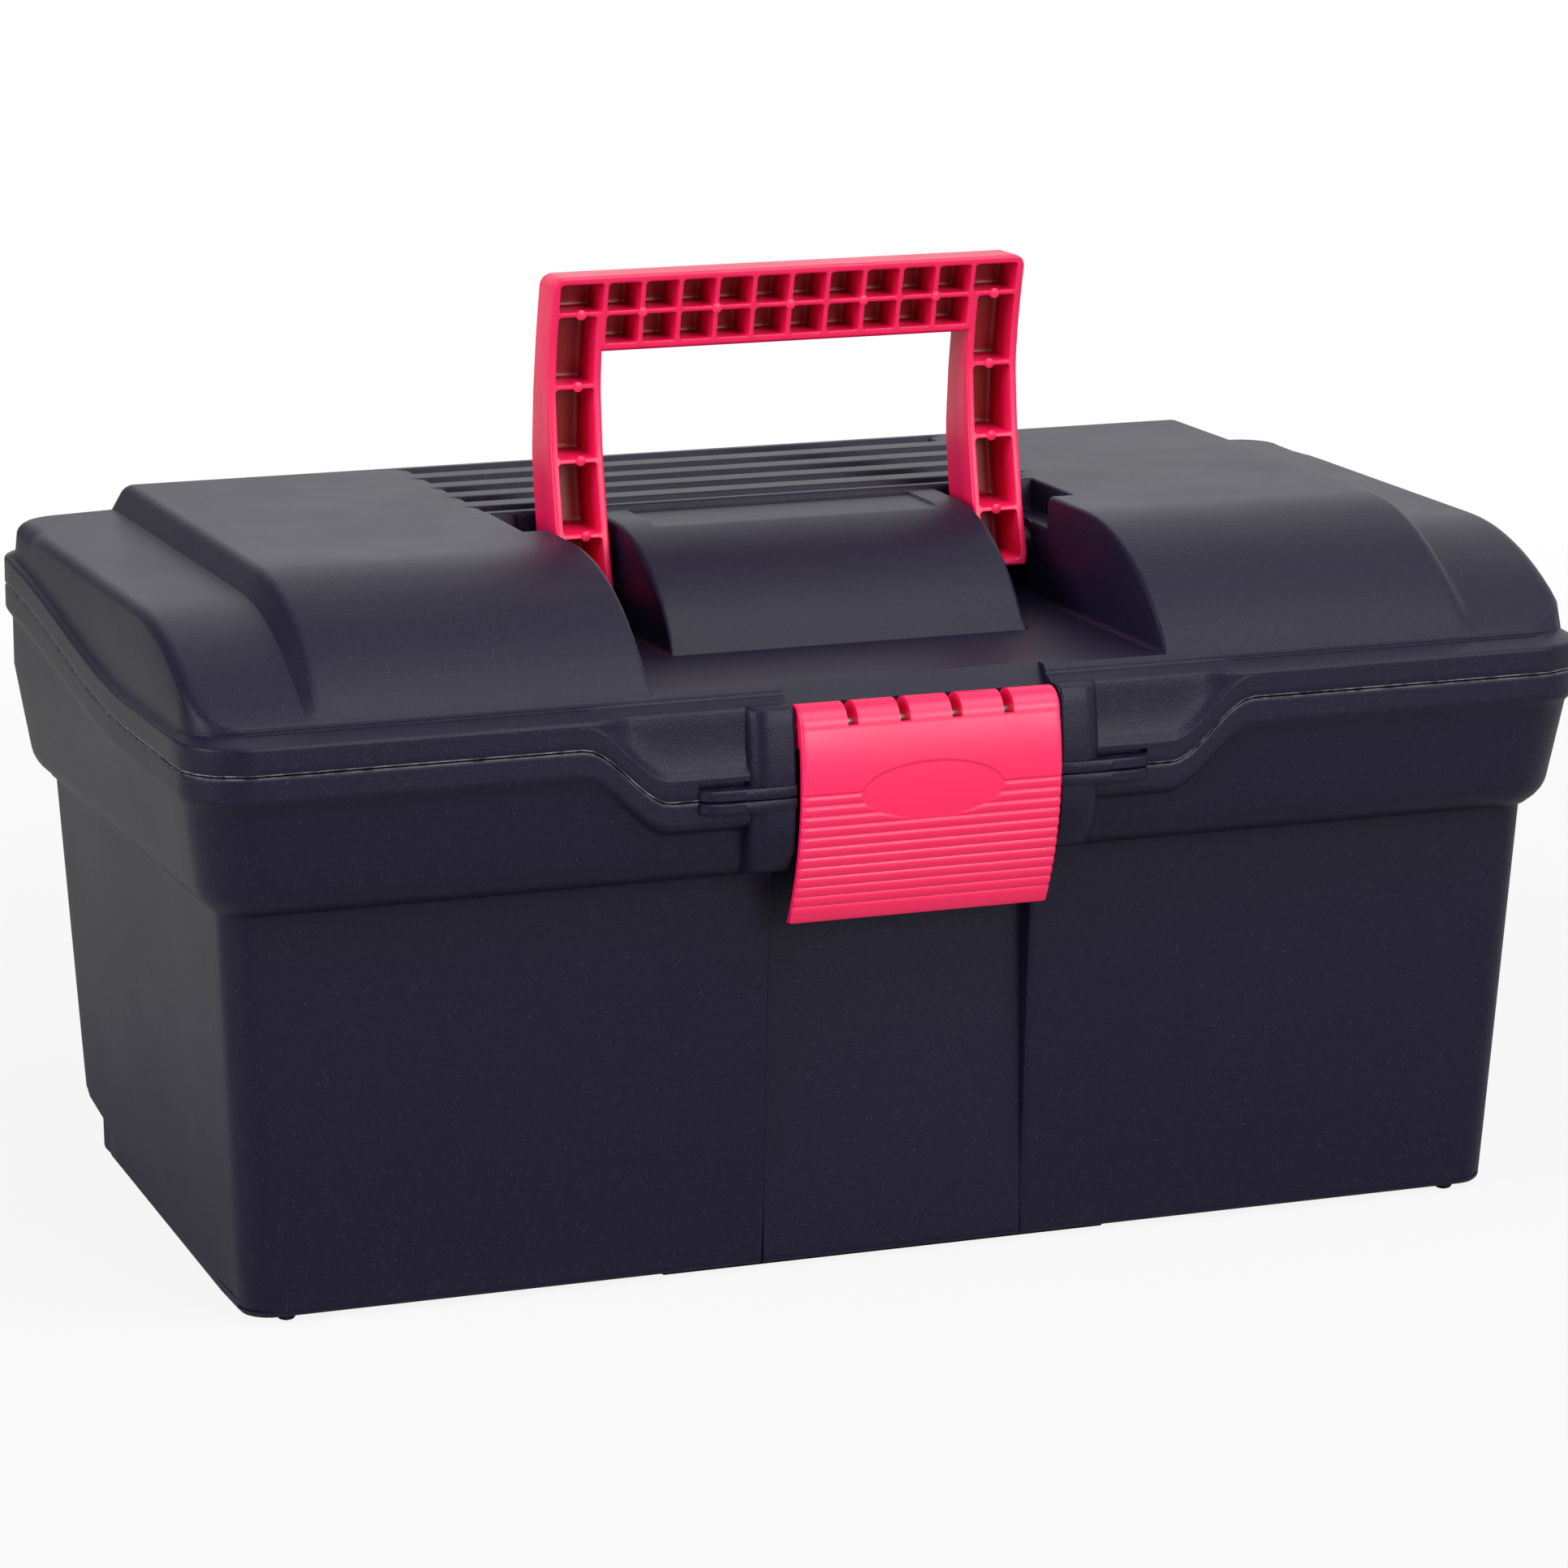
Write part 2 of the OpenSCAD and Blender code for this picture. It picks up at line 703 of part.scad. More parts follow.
// The band is a shell too, but for the wall behind the latch
module flange_hollow() {
    difference() {
        intersection() {
            linear_extrude(sky) polygon(round_rect(half_l - flange_t, half_d - flange_t, rim_r - flange_t));
            side_band(-far, band_h - wall);
        }
        block([-pocket_x - wall, -far, 0], [pocket_x + wall, wall - body_y, sky]);
    }
}

// Room over a padlock tab
module tab_recess() {
    z0 = dip_z + part_gap + tab_t;
    block([post_x, -far, z0], [tab_x + tab_r, tab_y + tab_hole_r, z0 + tab_recess_h]);
}

module upper_post() {
    along_x(pocket_x, post_x) polygon([
        [-half_d - post_out, dip_z + part_gap], [-half_d, part_z + band_h],
        [wall - body_y, part_z + band_h], [wall - body_y, dip_z + part_gap]
    ]);
}

module lid_knuckle() {
    x0 = hinge_x - knuckle_l / 2;
    x1 = hinge_x + knuckle_l / 2;
    rod(x0, x1, hinge_y, hinge_z, knuckle_r);
    along_x(x0, x1) polygon([
        [hinge_y, hinge_z + part_gap], [hinge_y, hinge_z + knuckle_r],
        [half_d - over, hinge_z + band_h], [half_d - over, hinge_z + part_gap]
    ]);
}

// Handle

// Middle of the handle's thickness at a height above the pivot
function bow(up) = pivot_y - handle_set + leg_bow * sin(180 * up / handle_reach);

// Side view of the handle from its legs' ends to its top, between two offsets
module handle_side(front, back) {
    ups = [for (i = [0 : 2 * arc_n]) (handle_reach + leg_end) * i / (2 * arc_n) - leg_end];
    polygon(concat(
        [for (u = ups) [bow(u) + front, pivot_z + u]],
        [for (i = [len(ups) - 1 : -1 : 0]) [bow(ups[i]) + back, pivot_z + ups[i]]]
    ));
}

module pocket(x0, x1, z0, z1) {
    translate([x0 + handle_rib / 2, z0 + handle_rib / 2])
        square([x1 - x0 - handle_rib, z1 - z0 - handle_rib]);
}

// Front view of the open pockets in the grip, at the corners and down the legs
module pockets() {
    edge = handle_wall - handle_rib / 2;
    low = handle_z - grip_h + edge;
    row = (grip_h - 2 * edge) / pocket_rows;
    col = 2 * leg_in / pocket_n;
    for (i = [0 : pocket_n - 1], j = [0 : pocket_rows - 1])
        pocket(i * col - leg_in, (i + 1) * col - leg_in, low + j * row, low + (j + 1) * row);
    corner = handle_z - edge - row;
    for (side = [0, 1]) mirror([side, 0]) {
        pocket(leg_in, handle_x - edge, corner, handle_z - edge);
        for (k = [1 : leg_pockets])
            pocket(leg_in + edge, handle_x - edge, max(corner - k * leg_pitch, handle_low + edge),
                corner - (k - 1) * leg_pitch);
    }
}

module handle() {
    color(pink) {
        difference() {
            along_x(-handle_x, handle_x) handle_side(-handle_t / 2, handle_t / 2);
            block([-leg_in, -far, 0], [leg_in, far, handle_z - grip_h]);
            intersection() {
                along_y(-far, far) pockets();
                along_x(-handle_x, handle_x) handle_side(-handle_t, handle_t / 2 - handle_wall);
            }
        }
        both_ends() rod(handle_x - over, handle_x + stub_l, pivot_y, pivot_z, stub_r);
    }
}

// Latch

// Place of the latch's front face at a drop below its pivot
belly_y = -half_d - latch_belly;
tail_y = latch_tail - half_d;
function latch_face(down) = let(
    upper = latch_y - latch_top_r - belly_y, lower = tail_y - belly_y
) belly_y + (down < belly_down ? upper * pow(1 - down / belly_down, 2)
    : lower * pow((down - belly_down) / (latch_drop - belly_down), 2));

// Side view of the latch's plate, with a saw-tooth grip below the belly
module latch_side() {
    rib_top = latch_drop - rib_n * rib_pitch;
    plain = [for (i = [0 : arc_n]) rib_top * i / arc_n];
    teeth = [for (i = [0 : rib_n - 1]) rib_top + i * rib_pitch];
    polygon(concat(
        [for (d = plain) [latch_face(d), latch_z - d]],
        [for (d = teeth) each [
            [latch_face(d) + rib_depth, latch_z - d - rib_lip],
            [latch_face(d + rib_pitch), latch_z - d - rib_pitch]
        ]],
        [for (i = [2 * arc_n : -1 : 0]) let(d = latch_drop * i / (2 * arc_n))
            [latch_face(d) + latch_t, latch_z - d]]
    ));
}

module latch() {
    color(pink) difference() {
        union() {
            along_x(-latch_x, latch_x) latch_side();
            rod(-latch_x, latch_x, latch_y, latch_z, latch_top_r);
            block([-catch_x, latch_face(hook_down) + latch_t / 2, hook_z - catch_h],
                [catch_x, catch_y - catch_gap, hook_z]);
        }
        rod(-latch_x - over, latch_x + over, latch_y, latch_z, latch_pin_r + run_clear);
        for (i = [0 : slot_n - 1]) translate([(i - (slot_n - 1) / 2) * slot_pitch, 0, 0])
            block([-slot_w / 2, -far, latch_z + latch_top_r - slot_h], [slot_w / 2, far, sky]);
    }
}

// Pins

module latch_pin() {
    color(steel) rod(pin_cover - post_x, post_x - pin_cover, latch_y, latch_z, latch_pin_r);
}

module hinge_pin(x) {
    color(steel) rod(x - pin_half, x + pin_half, hinge_y, hinge_z, hinge_pin_r);
}

// Tray

tray_z = shelf_z + seat_gap;
tray_top = tray_z + tray_wall;
tray_low = tray_top - tray_h;
tray_x = tub_x(tray_low) - wall - tray_gap;
tray_y = panel_y - wall - tray_gap;
grip_top = tray_top + tray_grip_up;
hand_top = grip_top - hand_bar;
peg_x = (tray_grip_x + hand_x) / 2;

module tray() {
    color(grey) difference() {
        union() {
            block([tray_rim_clear - shelf_x, -tray_y, tray_z], [shelf_x - tray_rim_clear, tray_y, tray_top]);
            block([-tray_x, -tray_y, tray_low], [tray_x, tray_y, tray_top]);
        }
        for (side = [-1, 1]) tray_row(side);
        block([-hand_x, -tray_grip_t, hand_top - hand_h], [hand_x, tray_grip_t, sky]);
        both_ends() peg(peg_r + hold_clear, peg_l + over);
    }
}

module peg(r, depth) {
    translate([peg_x, 0, tray_top - depth]) cylinder(h = depth + over, r = r);
}

// The arch that the tray is lifted by, standing on the tray's middle wall
module tray_grip() {
    color(grey) {
        difference() {
            block([-tray_grip_x, -tray_grip_t / 2, tray_top], [tray_grip_x, tray_grip_t / 2, grip_top]);
            block([-hand_x, -tray_grip_t, 0], [hand_x, tray_grip_t, hand_top]);
        }
        both_ends() peg(peg_r, peg_l);
    }
}

// Three open compartments along one side of the middle wall
module tray_row(side) {
    y0 = side > 0 ? tray_grip_t / 2 : tray_wall - tray_y;
    y1 = side > 0 ? tray_y - tray_wall : -tray_grip_t / 2;
    stops = [-tray_x + tray_wall / 2, -tray_cross_x, tray_cross_x, tray_x - tray_wall / 2];
    for (i = [0 : 2])
        block([stops[i] + tray_wall / 2, y0, tray_low + tray_wall], [stops[i + 1] - tray_wall / 2, y1, sky]);
}

tub();
lid();
handle();
latch();
latch_pin();
hinge_pin(-hinge_x);  // hinge_pin_left
hinge_pin(hinge_x);  // hinge_pin_right
tray();
tray_grip();
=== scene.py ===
import math
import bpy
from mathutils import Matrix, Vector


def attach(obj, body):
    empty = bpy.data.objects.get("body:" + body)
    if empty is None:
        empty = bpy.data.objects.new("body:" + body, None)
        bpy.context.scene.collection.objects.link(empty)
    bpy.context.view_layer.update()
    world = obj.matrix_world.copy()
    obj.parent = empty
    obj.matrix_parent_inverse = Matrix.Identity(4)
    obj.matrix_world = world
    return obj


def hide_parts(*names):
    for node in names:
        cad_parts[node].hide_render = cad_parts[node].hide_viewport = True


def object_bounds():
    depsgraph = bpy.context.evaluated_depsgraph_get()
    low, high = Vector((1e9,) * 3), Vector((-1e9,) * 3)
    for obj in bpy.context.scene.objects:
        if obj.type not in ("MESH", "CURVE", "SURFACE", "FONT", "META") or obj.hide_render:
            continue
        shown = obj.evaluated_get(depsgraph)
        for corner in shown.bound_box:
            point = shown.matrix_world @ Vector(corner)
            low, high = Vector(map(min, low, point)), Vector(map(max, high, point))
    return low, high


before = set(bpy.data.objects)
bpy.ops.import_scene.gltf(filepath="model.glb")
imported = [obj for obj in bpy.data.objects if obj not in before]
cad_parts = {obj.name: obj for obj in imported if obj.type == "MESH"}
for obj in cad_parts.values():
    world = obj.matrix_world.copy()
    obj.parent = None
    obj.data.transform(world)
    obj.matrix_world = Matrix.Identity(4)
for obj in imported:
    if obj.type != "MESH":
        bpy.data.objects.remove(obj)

from types import SimpleNamespace

import bmesh
import bpy
import numpy as np
from mathutils import Vector

bl_info = {
    "name": "Horse grooming box",
    "version": (1, 0, 0),
    "blender": (4, 5, 0),
    "location": "3D View > Sidebar > Grooming box",
    "description": "Builds a moulded grooming box with its lid, handle, latch and tray on the packed model",
    "category": "Add Mesh",
}

MM = 0.001
CAD_LOW, CAD_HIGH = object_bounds()
RIM_HALF = CAD_HIGH.x / MM
# Height of the fine line that the mould's halves leave round the handle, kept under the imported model's top
MOULD_LINE = 0.14
HANDLE_TOP = CAD_HIGH.z / MM - MOULD_LINE
# Width of a moulded wall's slant in plan, and the shares of a radius at which grid lines follow its arc
WALL_RUN = 0.5
ARC_SHARES = np.array([0.06, 0.234, 0.5, 0.79, 1.0])
# Width of the strip inside the lid's body outline that follows the outline in rings, and the rings' places in it
RING = 5.0
RING_STEPS = (-4.4, -3.7, -2.6, -1.7, -1.0, -0.55, -0.25)
# Radii of the lid: the foot of its outer wall, the notches, the block's recess, the grooves' tops and feet
FOOT_R, NOTCH_R, RECESS_R, GROOVE_TOP_R, GROOVE_FOOT_R = 0.8, 0.9, 0.3, 0.7, 0.9
# Distance between the block's recess and the channel's back wall
RECESS_BACK = 2.0
# Inner and outer end of the recess over a padlock tab, and the width of the slant at its ends
TAB_RECESS = np.array([47.85, 64.05])
TAB_SLANT = 0.3
# Width of the flat ring inside the edge of a large flat face, which keeps the face evenly lit
FLAT_RING = 2.0
# Vertices that lie nearer to each other than this are merged
WELD = 0.003
# Mesh attribute for the share of a second colour: whitened edges on the tub and lid, and painted shade by the depth
# of the handle's pockets
SCUFF_AND_POCKET_SHADE = "tone"


def linear(text):
    """Linear colour of an sRGB hex value."""
    parts = [int(text[i : i + 2], 16) / 255 for i in (1, 3, 5)]
    return tuple(p / 12.92 if p <= 0.04045 else ((p + 0.055) / 1.055) ** 2.4 for p in parts)


def length(name, description, millimetres):
    """A size that the sidebar shows as a length."""
    return bpy.props.FloatProperty(name=name, description=description, default=millimetres * MM, unit="LENGTH")


def share(name, description, value):
    """A plain number."""
    return bpy.props.FloatProperty(name=name, description=description, default=value)


def count(name, description, value):
    """A number of like features."""
    return bpy.props.IntProperty(name=name, description=description, default=value, min=1)


def colour(name, description, text):
    """A colour that the sidebar shows as a swatch."""
    return bpy.props.FloatVectorProperty(
        name=name, description=description, default=linear(text), subtype="COLOR", min=0.0, max=1.0
    )


class RimSizes(bpy.types.PropertyGroup):
    """Sizes that the lid and the tub share."""

    half_l: length("Half length", "Half length of the rim", RIM_HALF)
    half_d: length("Half depth", "Half depth of the rim", 108.5)
    corner: length("Corner", "Corner radius of the rim", 17)
    part_z: length("Parting height", "Height of the parting line at the front", 153.2)
    part_rise: length("Parting rise", "Rise of the parting line to the back", 15.4)
    rise_front: length("Rise start", "Place where the parting line starts to rise", -40)
    rise_back: length("Rise end", "Place where the parting line stops rising", 100)
    gap: length("Parting gap", "Gap between lid and tub", 0.4)
    dip: length("Dip", "Drop of the parting line round the latch", 16)
    dip_out: length("Dip outer", "Outer end of the dip's slope", 95.7)
    dip_in: length("Dip inner", "Inner end of the dip's slope", 71.3)
    band_h: length("Band height", "Height of the raised band on each side of the parting line", 8)
    band_proud: length("Band proud", "How far the band stands proud of the skirt", 1.6)
    wall: length("Wall", "Thickness of the moulded walls", 2.5)
    edge: length("Edge", "Radius of the rim's edges", 1.2)
    pocket_x: length("Latch pocket", "Half width of the pocket that the latch stands in", 37.6)
    post_w: length("Post width", "Width of the posts beside the latch", 12.5)
    post_out: length("Post reach", "How far the posts stand out of the rim", 4)
    post_r: length("Post edge", "Radius of a post's edge beside the latch", 1.2)
    post_round: length("Post round", "Radius of a post's outer side", 5.2)
    tab_x: length("Tab place", "Distance of the padlock holes from the middle", 55.6)
    tab_r: length("Tab radius", "Radius of the padlock tabs", 4.4)
    tab_l: length("Tab length", "Reach of a padlock tab from its hole to its outer end", 8.7)
    tab_hole: length("Tab hole", "Radius of the padlock holes", 2.2)
    tab_t: length("Tab thickness", "Thickness of a padlock tab", 3)
    hinge_x: length("Hinge place", "Distance of the hinges from the middle", 110)
    hinge_y: length("Hinge depth", "Place of the hinge axis", 113.1)
    knuckle_l: length("Lid knuckle", "Length of the lid's knuckle", 22)
    ear_l: length("Tub knuckle", "Length of a tub knuckle", 10)
    knuckle_r: length("Knuckle radius", "Radius of the knuckles", 3.99)
    pin_r: length("Pin radius", "Radius of the hinge pin's bore", 2.05)


class LidSizes(bpy.types.PropertyGroup):
    """Sizes of the lid."""

    body_x: length("Body half length", "Half length of the lid above its flange", 197.5)
    body_y: length("Body half depth", "Half depth of the lid above its flange", 100)
    body_r: length("Body corner", "Corner radius of the lid above its flange", 12.5)
    top_z: length("Top", "Height of the raised platform", 195)
    plateau_z: length("Plateau", "Height of the end plateaus beside the platform", 187.6)
    plateau_edge_z: length("Plateau edge", "Height of the end plateaus at their outer edge", 186.7)
    plateau_r: length("Plateau round", "Radius of the plateaus' outer edge", 3.5)
    back_r: length("Back round", "Radius of the top back edge", 8)
    foot_z: length("Dome foot", "Height of the dome's foot at the front", 164)
    dome_y: length("Dome start", "Place where the dome's curve starts", -40)
    platform_x: length("Platform", "Half length of the platform", 164)
    platform_slope: length("Platform slope", "Length of the slope at the platform's ends", 3.5)
    slope_top: length("Slope edge", "Radius of the slope's upper edge", 3.6)
    slope_foot: length("Slope foot", "Radius at the slope's foot", 0.8)
    channel_x: length("Channel", "Half width of the channel for the folded handle", 73.6)
    channel_back: length("Channel back", "Place of the channel's back wall", 12)
    channel_edge: length("Channel edge", "Radius of the channel's top edges", 1.5)
    channel_foot: length("Channel foot", "Radius at the foot of the channel's walls", 2)
    floor_z: length("Channel floor", "Height of the channel's floor", 165.2)
    block_x: length("Block", "Half width of the block in the channel", 52)
    block_z: length("Block top", "Height of the block", 193.9)
    block_y: length("Block foot", "Place of the block's front foot", -54)
    block_arc_y: length("Block curve", "Place where the block's curve starts", -4)
    recess_x: length("Recess", "Half length of the shallow recess in the block's top", 42)
    recess_depth: length("Recess depth", "Depth of that recess", 0.8)
    notch_x: length("Notch", "Reach of the notches beside the channel", 81.1)
    notch_y: length("Notch front", "Front of the notches", -17)
    notch_z: length("Notch level", "Height of the notches' floor", 186)
    groove_n: count("Grooves", "Number of grooves behind the handle", 5)
    groove_x: length("Groove", "Half length of a groove", 80)
    groove_y: length("First groove", "Place of the first groove", 20)
    groove_pitch: length("Groove spacing", "Spacing of the grooves", 16.5)
    groove_w: length("Groove width", "Width of a groove", 8)
    groove_depth: length("Groove depth", "Depth of a groove", 4)
    groove_end: length("Groove end", "Length of the slant at a groove's ends", 4)
    step_h: length("Ledge fall", "Fall of the ledge from the dome's foot to the rim", 1.8)
    apron: length("Apron", "Length of the slope between the channel's floor and the latch", 4.5)
    apron_z: length("Apron foot", "Height at which that slope meets the wall behind the latch", 159.8)
    bead: length("Bead", "Height of the bead along the lid's lower edge", 6.3)
    lean: length("Lean", "How far the flange leans back at its top beside the latch", 3)
    foot_soft: length("End foot", "Height of the hollow round at the foot of the end walls", 4)
    fascia: length("Fascia", "Depth of the inset panel over the bead", 1.1)
    recess_over_tab: length("Tab recess", "Depth of the recess over each padlock tab", 2.4)


class TubSizes(bpy.types.PropertyGroup):
    """Sizes of the tub."""

    foot_h: length("Feet", "Height of the feet", 1.6)
    base_x: length("Base half length", "Half length of the tub at its base", 182.7)
    base_y: length("Base half depth", "Half depth of the tub at its base", 85.8)
    draft_x: length("End draft", "Draft of the end walls", 6)
    draft_y: length("Front draft", "Draft of the front and back walls", 7.2)
    corner: length("Corner", "Radius of the upright edges", 9)
    base_round: length("Base round", "Radius of the base's edge", 2)
    skirt_z: length("Skirt", "Height of the skirt's underside", 113.6)
    skirt_round: length("Skirt round", "Radius of the skirt's lower edge", 8)
    skirt_lean: share("Skirt lean", "Lean of the skirt's face per height", 0.15)
    band_soft: length("Band slope", "Height of the soft slope under the band", 3.6)
    shelf_h: length("Shelf", "Height of the tray's shelf above the skirt's underside", 3.2)
    heel_h: length("Heel height", "Height, at the back, of the cut under each end wall", 20.6)
    heel_lip: length("Heel lip", "Height of that cut at its front", 1.6)
    heel_in: length("Heel depth", "Depth of that cut", 5)
    heel_front: length("Heel front", "Place of the cut's front end", -60)
    post_down: length("Post length", "Length of the posts on the tub", 21.5)
    pad_l: length("Pad length", "Length of the foot pad", 130)
    pad_d: length("Pad depth", "Depth of the foot pad", 162)
    pip_r: length("Pip radius", "Radius of the corner feet", 2.5)
    pip_x: length("Pip place", "Distance of the corner feet from the middle", 170.7)
    pip_y: length("Pip depth", "Distance of the corner feet from the middle, front to back", 81)
    catch_x: length("Catch", "Half width of the catch", 14)
    catch_z: length("Catch height", "Height of the catch's underside", 121.5)
    catch_y: length("Catch reach", "Place of the catch's front", -103.5)
    catch_h: length("Catch thickness", "Thickness of the catch", 4)


class HandleSizes(bpy.types.PropertyGroup):
    """Sizes of the handle."""

    half_w: length("Half width", "Half width of the handle", 69.6)
    leg_w: length("Leg width", "Width of a leg", 15.4)
    thick: length("Thickness", "Thickness of the grip from front to back", 13)
    leg_more: share("Leg thickening", "Share by which the legs are thicker at their feet than the grip", 0.42)
    top_z: length("Top", "Height of the grip's top", HANDLE_TOP)
    grip_h: length("Grip height", "Height of the grip", 21.5)
    pivot_y: length("Pivot depth", "Place of the pivot", -2)
    pivot_z: length("Pivot height", "Height of the pivot", 179.5)
    leg_end: length("Leg end", "Length of a leg below the pivot", 4.5)
    leg_slant: length("Leg slant", "How far a leg's end draws in on its outer side", 1)
    set_y: length("Set", "Forward set of the handle", 1.5)
    bow: length("Bow", "Backward bow of the legs", 7)
    edge: length("Edge", "Radius of the long edges", 0.9)
    corner: length("Corner", "Radius of the outer corners", 3.5)
    wall: length("Wall", "Thickness of the walls", 2.2)
    rib: length("Rib", "Thickness of the ribs", 1.3)
    pocket_r: length("Pocket corner", "Corner radius of the pockets", 1.1)
    pocket_n: count("Pockets", "Pockets in a row of the grip", 10)
    pocket_rows: count("Rows", "Rows of pockets in the grip", 2)
    leg_n: count("Leg pockets", "Pockets in a leg", 4)
    leg_pitch: length("Leg spacing", "Spacing of the leg pockets", 20.3)
    stub_r: length("Stub radius", "Radius of the pivot stubs", 3)
    stub_x: length("Stub reach", "Outer end of the stubs", 80.4)
    mark_r: length("Mark", "Radius of the round moulding marks", 1.4)


class LatchSizes(bpy.types.PropertyGroup):
    """Sizes of the latch."""

    half_w: length("Half width", "Half width of the latch", 37)
    axis_y: length("Axis depth", "Place of the latch's axis", -106.5)
    axis_z: length("Axis height", "Height of the latch's axis", 155.1)
    top_r: length("Top radius", "Radius of the rounded top", 6)
    belly_y: length("Belly", "Place of the belly", -114.29)
    belly_down: length("Belly drop", "Drop of the belly below the axis", 15)
    drop: length("Drop", "Drop of the lower edge below the axis", 54.3)
    tail_y: length("Tail", "Place of the lower edge", -104)
    thick: length("Thickness", "Thickness of the plate", 2.8)
    rib_n: count("Ribs", "Number of grip ribs", 12)
    rib_pitch: length("Rib spacing", "Spacing of the grip ribs", 2.9)
    rib_depth: length("Rib depth", "Depth of the grip ribs", 0.5)
    last_rib: length("Last rib", "How much taller the lowest rib is", 2)
    oval_x: length("Oval half length", "Half length of the blank oval", 20.25)
    oval_z: length("Oval half height", "Half height of the blank oval", 7.9)
    oval_down: length("Oval drop", "Drop of the oval's middle below the axis", 18.2)
    oval_sink: length("Oval depth", "Depth of the blank oval", 0.4)
    oval_edge: length("Oval edge", "Width of the slope round the oval", 0.45)
    slot_n: count("Notches", "Notches in the top edge", 4)
    slot_pitch: length("Notch spacing", "Spacing of the notches", 14.8)
    slot_w: length("Notch width", "Width of a notch", 3)
    slot_h: length("Notch depth", "Depth of a notch", 5.5)
    well_z: length("Notch well", "Height of the hollow under the notches", 150.8)
    edge: length("Edge", "Radius of the side edges", 0.8)
    hook_x: length("Hook", "Half width of the hook", 14)
    hook_z: length("Hook top", "Height of the hook's top", 121.1)
    hook_y: length("Hook reach", "Place of the hook's back", -103.9)
    hook_h: length("Hook height", "Height of the hook", 4)


class TraySizes(bpy.types.PropertyGroup):
    """Sizes of the tray and its grip."""

    rim_x: length("Rim", "Half length of the tray's rim", 189.2)
    half_x: length("Half length", "Half length of the tray below its rim", 181)
    half_y: length("Half depth", "Half depth of the tray", 80.3)
    top_z: length("Top", "Height of the tray's rim", 119.1)
    low_z: length("Bottom", "Height of the tray's underside", 73.1)
    wall: length("Wall", "Thickness of the walls", 2)
    cross_x: length("Cross walls", "Distance of the cross walls from the middle", 95)
    grip_t: length("Grip thickness", "Thickness of the grip and the middle wall", 5)
    grip_x: length("Grip", "Half length of the grip", 62)
    grip_z: length("Grip top", "Height of the grip's top", 141.1)
    hand_x: length("Hand hole", "Half length of the hand hole", 48)
    hand_z: length("Hand hole foot", "Height of the hand hole's lower edge", 107.1)
    bar_h: length("Bar", "Height of the bar over the hand hole", 8)


class Finish(bpy.types.PropertyGroup):
    """Colours and grain of the finishes."""

    navy: colour("Navy", "Body colour of the tub and lid", "#120E25")
    # Painted glints: pale specks mixed into the colour where the grain's tops catch the light
    speck_glint: colour("Speck", "Pale specks in the grain", "#6A677C")
    scuff: colour("Scuff", "Whitened edge along the parting line", "#A9A7AF")
    pink: colour("Pink", "Body colour of the handle and latch", "#FA195D")
    pink_deep: colour("Deep pink", "Colour of the handle where it is thickest", "#F10E4E")
    pink_hollow: colour("Hollow pink", "Colour at the bottom of the handle's pockets", "#86020F")
    # Painted shade: darkens the handle's pockets towards their bottom, where little light gets
    tray: colour("Tray grey", "Body colour of the tray", "#4A4B51")
    steel: colour("Steel", "Colour of the pins", "#B4B6B9")
    floor: colour("Floor", "Colour of the floor", "#C2C2C2")
    bounce: colour("Floor bounce", "Tint of the floor where the plastic mirrors it", "#F3F5DC")
    grain: length("Grain", "Width of the moulded grain", 0.8)


class GroomingBox(bpy.types.PropertyGroup):
    """All sizes and colours of the grooming box."""

    rim: bpy.props.PointerProperty(type=RimSizes, name="Rim", description="Sizes shared by lid and tub")
    lid: bpy.props.PointerProperty(type=LidSizes, name="Lid", description="Sizes of the lid")
    tub: bpy.props.PointerProperty(type=TubSizes, name="Tub", description="Sizes of the tub")
    handle: bpy.props.PointerProperty(type=HandleSizes, name="Handle", description="Sizes of the handle")
    latch: bpy.props.PointerProperty(type=LatchSizes, name="Latch", description="Sizes of the latch")
    tray: bpy.props.PointerProperty(type=TraySizes, name="Tray", description="Sizes of the tray")
    finish: bpy.props.PointerProperty(type=Finish, name="Finish", description="Colours and grain")


def in_mm(group):
    """The group's numbers, with lengths in millimetres."""
    sizes = SimpleNamespace()
    for p in group.bl_rna.properties:
        if p.type in ("FLOAT", "INT") and not p.is_array:
            value = getattr(group, p.identifier)
            setattr(sizes, p.identifier, value / MM if p.unit == "LENGTH" else value)
    return sizes


# Curves and distances

def ease(t):
    """Smooth step from 0 to 1."""
    t = np.clip(t, 0.0, 1.0)
    return t * t * (3.0 - 2.0 * t)


def side_line(y, rim):
    """Height of the parting line along the ends."""
    return rim.part_z + rim.part_rise * ease((y - rim.rise_front) / (rim.rise_back - rim.rise_front))


def front_line(x, rim):
    """Height of the parting line along the front."""
    return rim.part_z - rim.dip * ease((rim.dip_out - np.abs(x)) / (rim.dip_out - rim.dip_in))


def round_rect_distance(x, y, half_x, half_y, corner):
    """Signed distance from a rounded rectangle, negative inside."""
    px = np.abs(x) - (half_x - corner)
    py = np.abs(y) - (half_y - corner)
    outside = np.hypot(np.maximum(px, 0), np.maximum(py, 0))
    return outside + np.minimum(np.maximum(px, py), 0) - corner


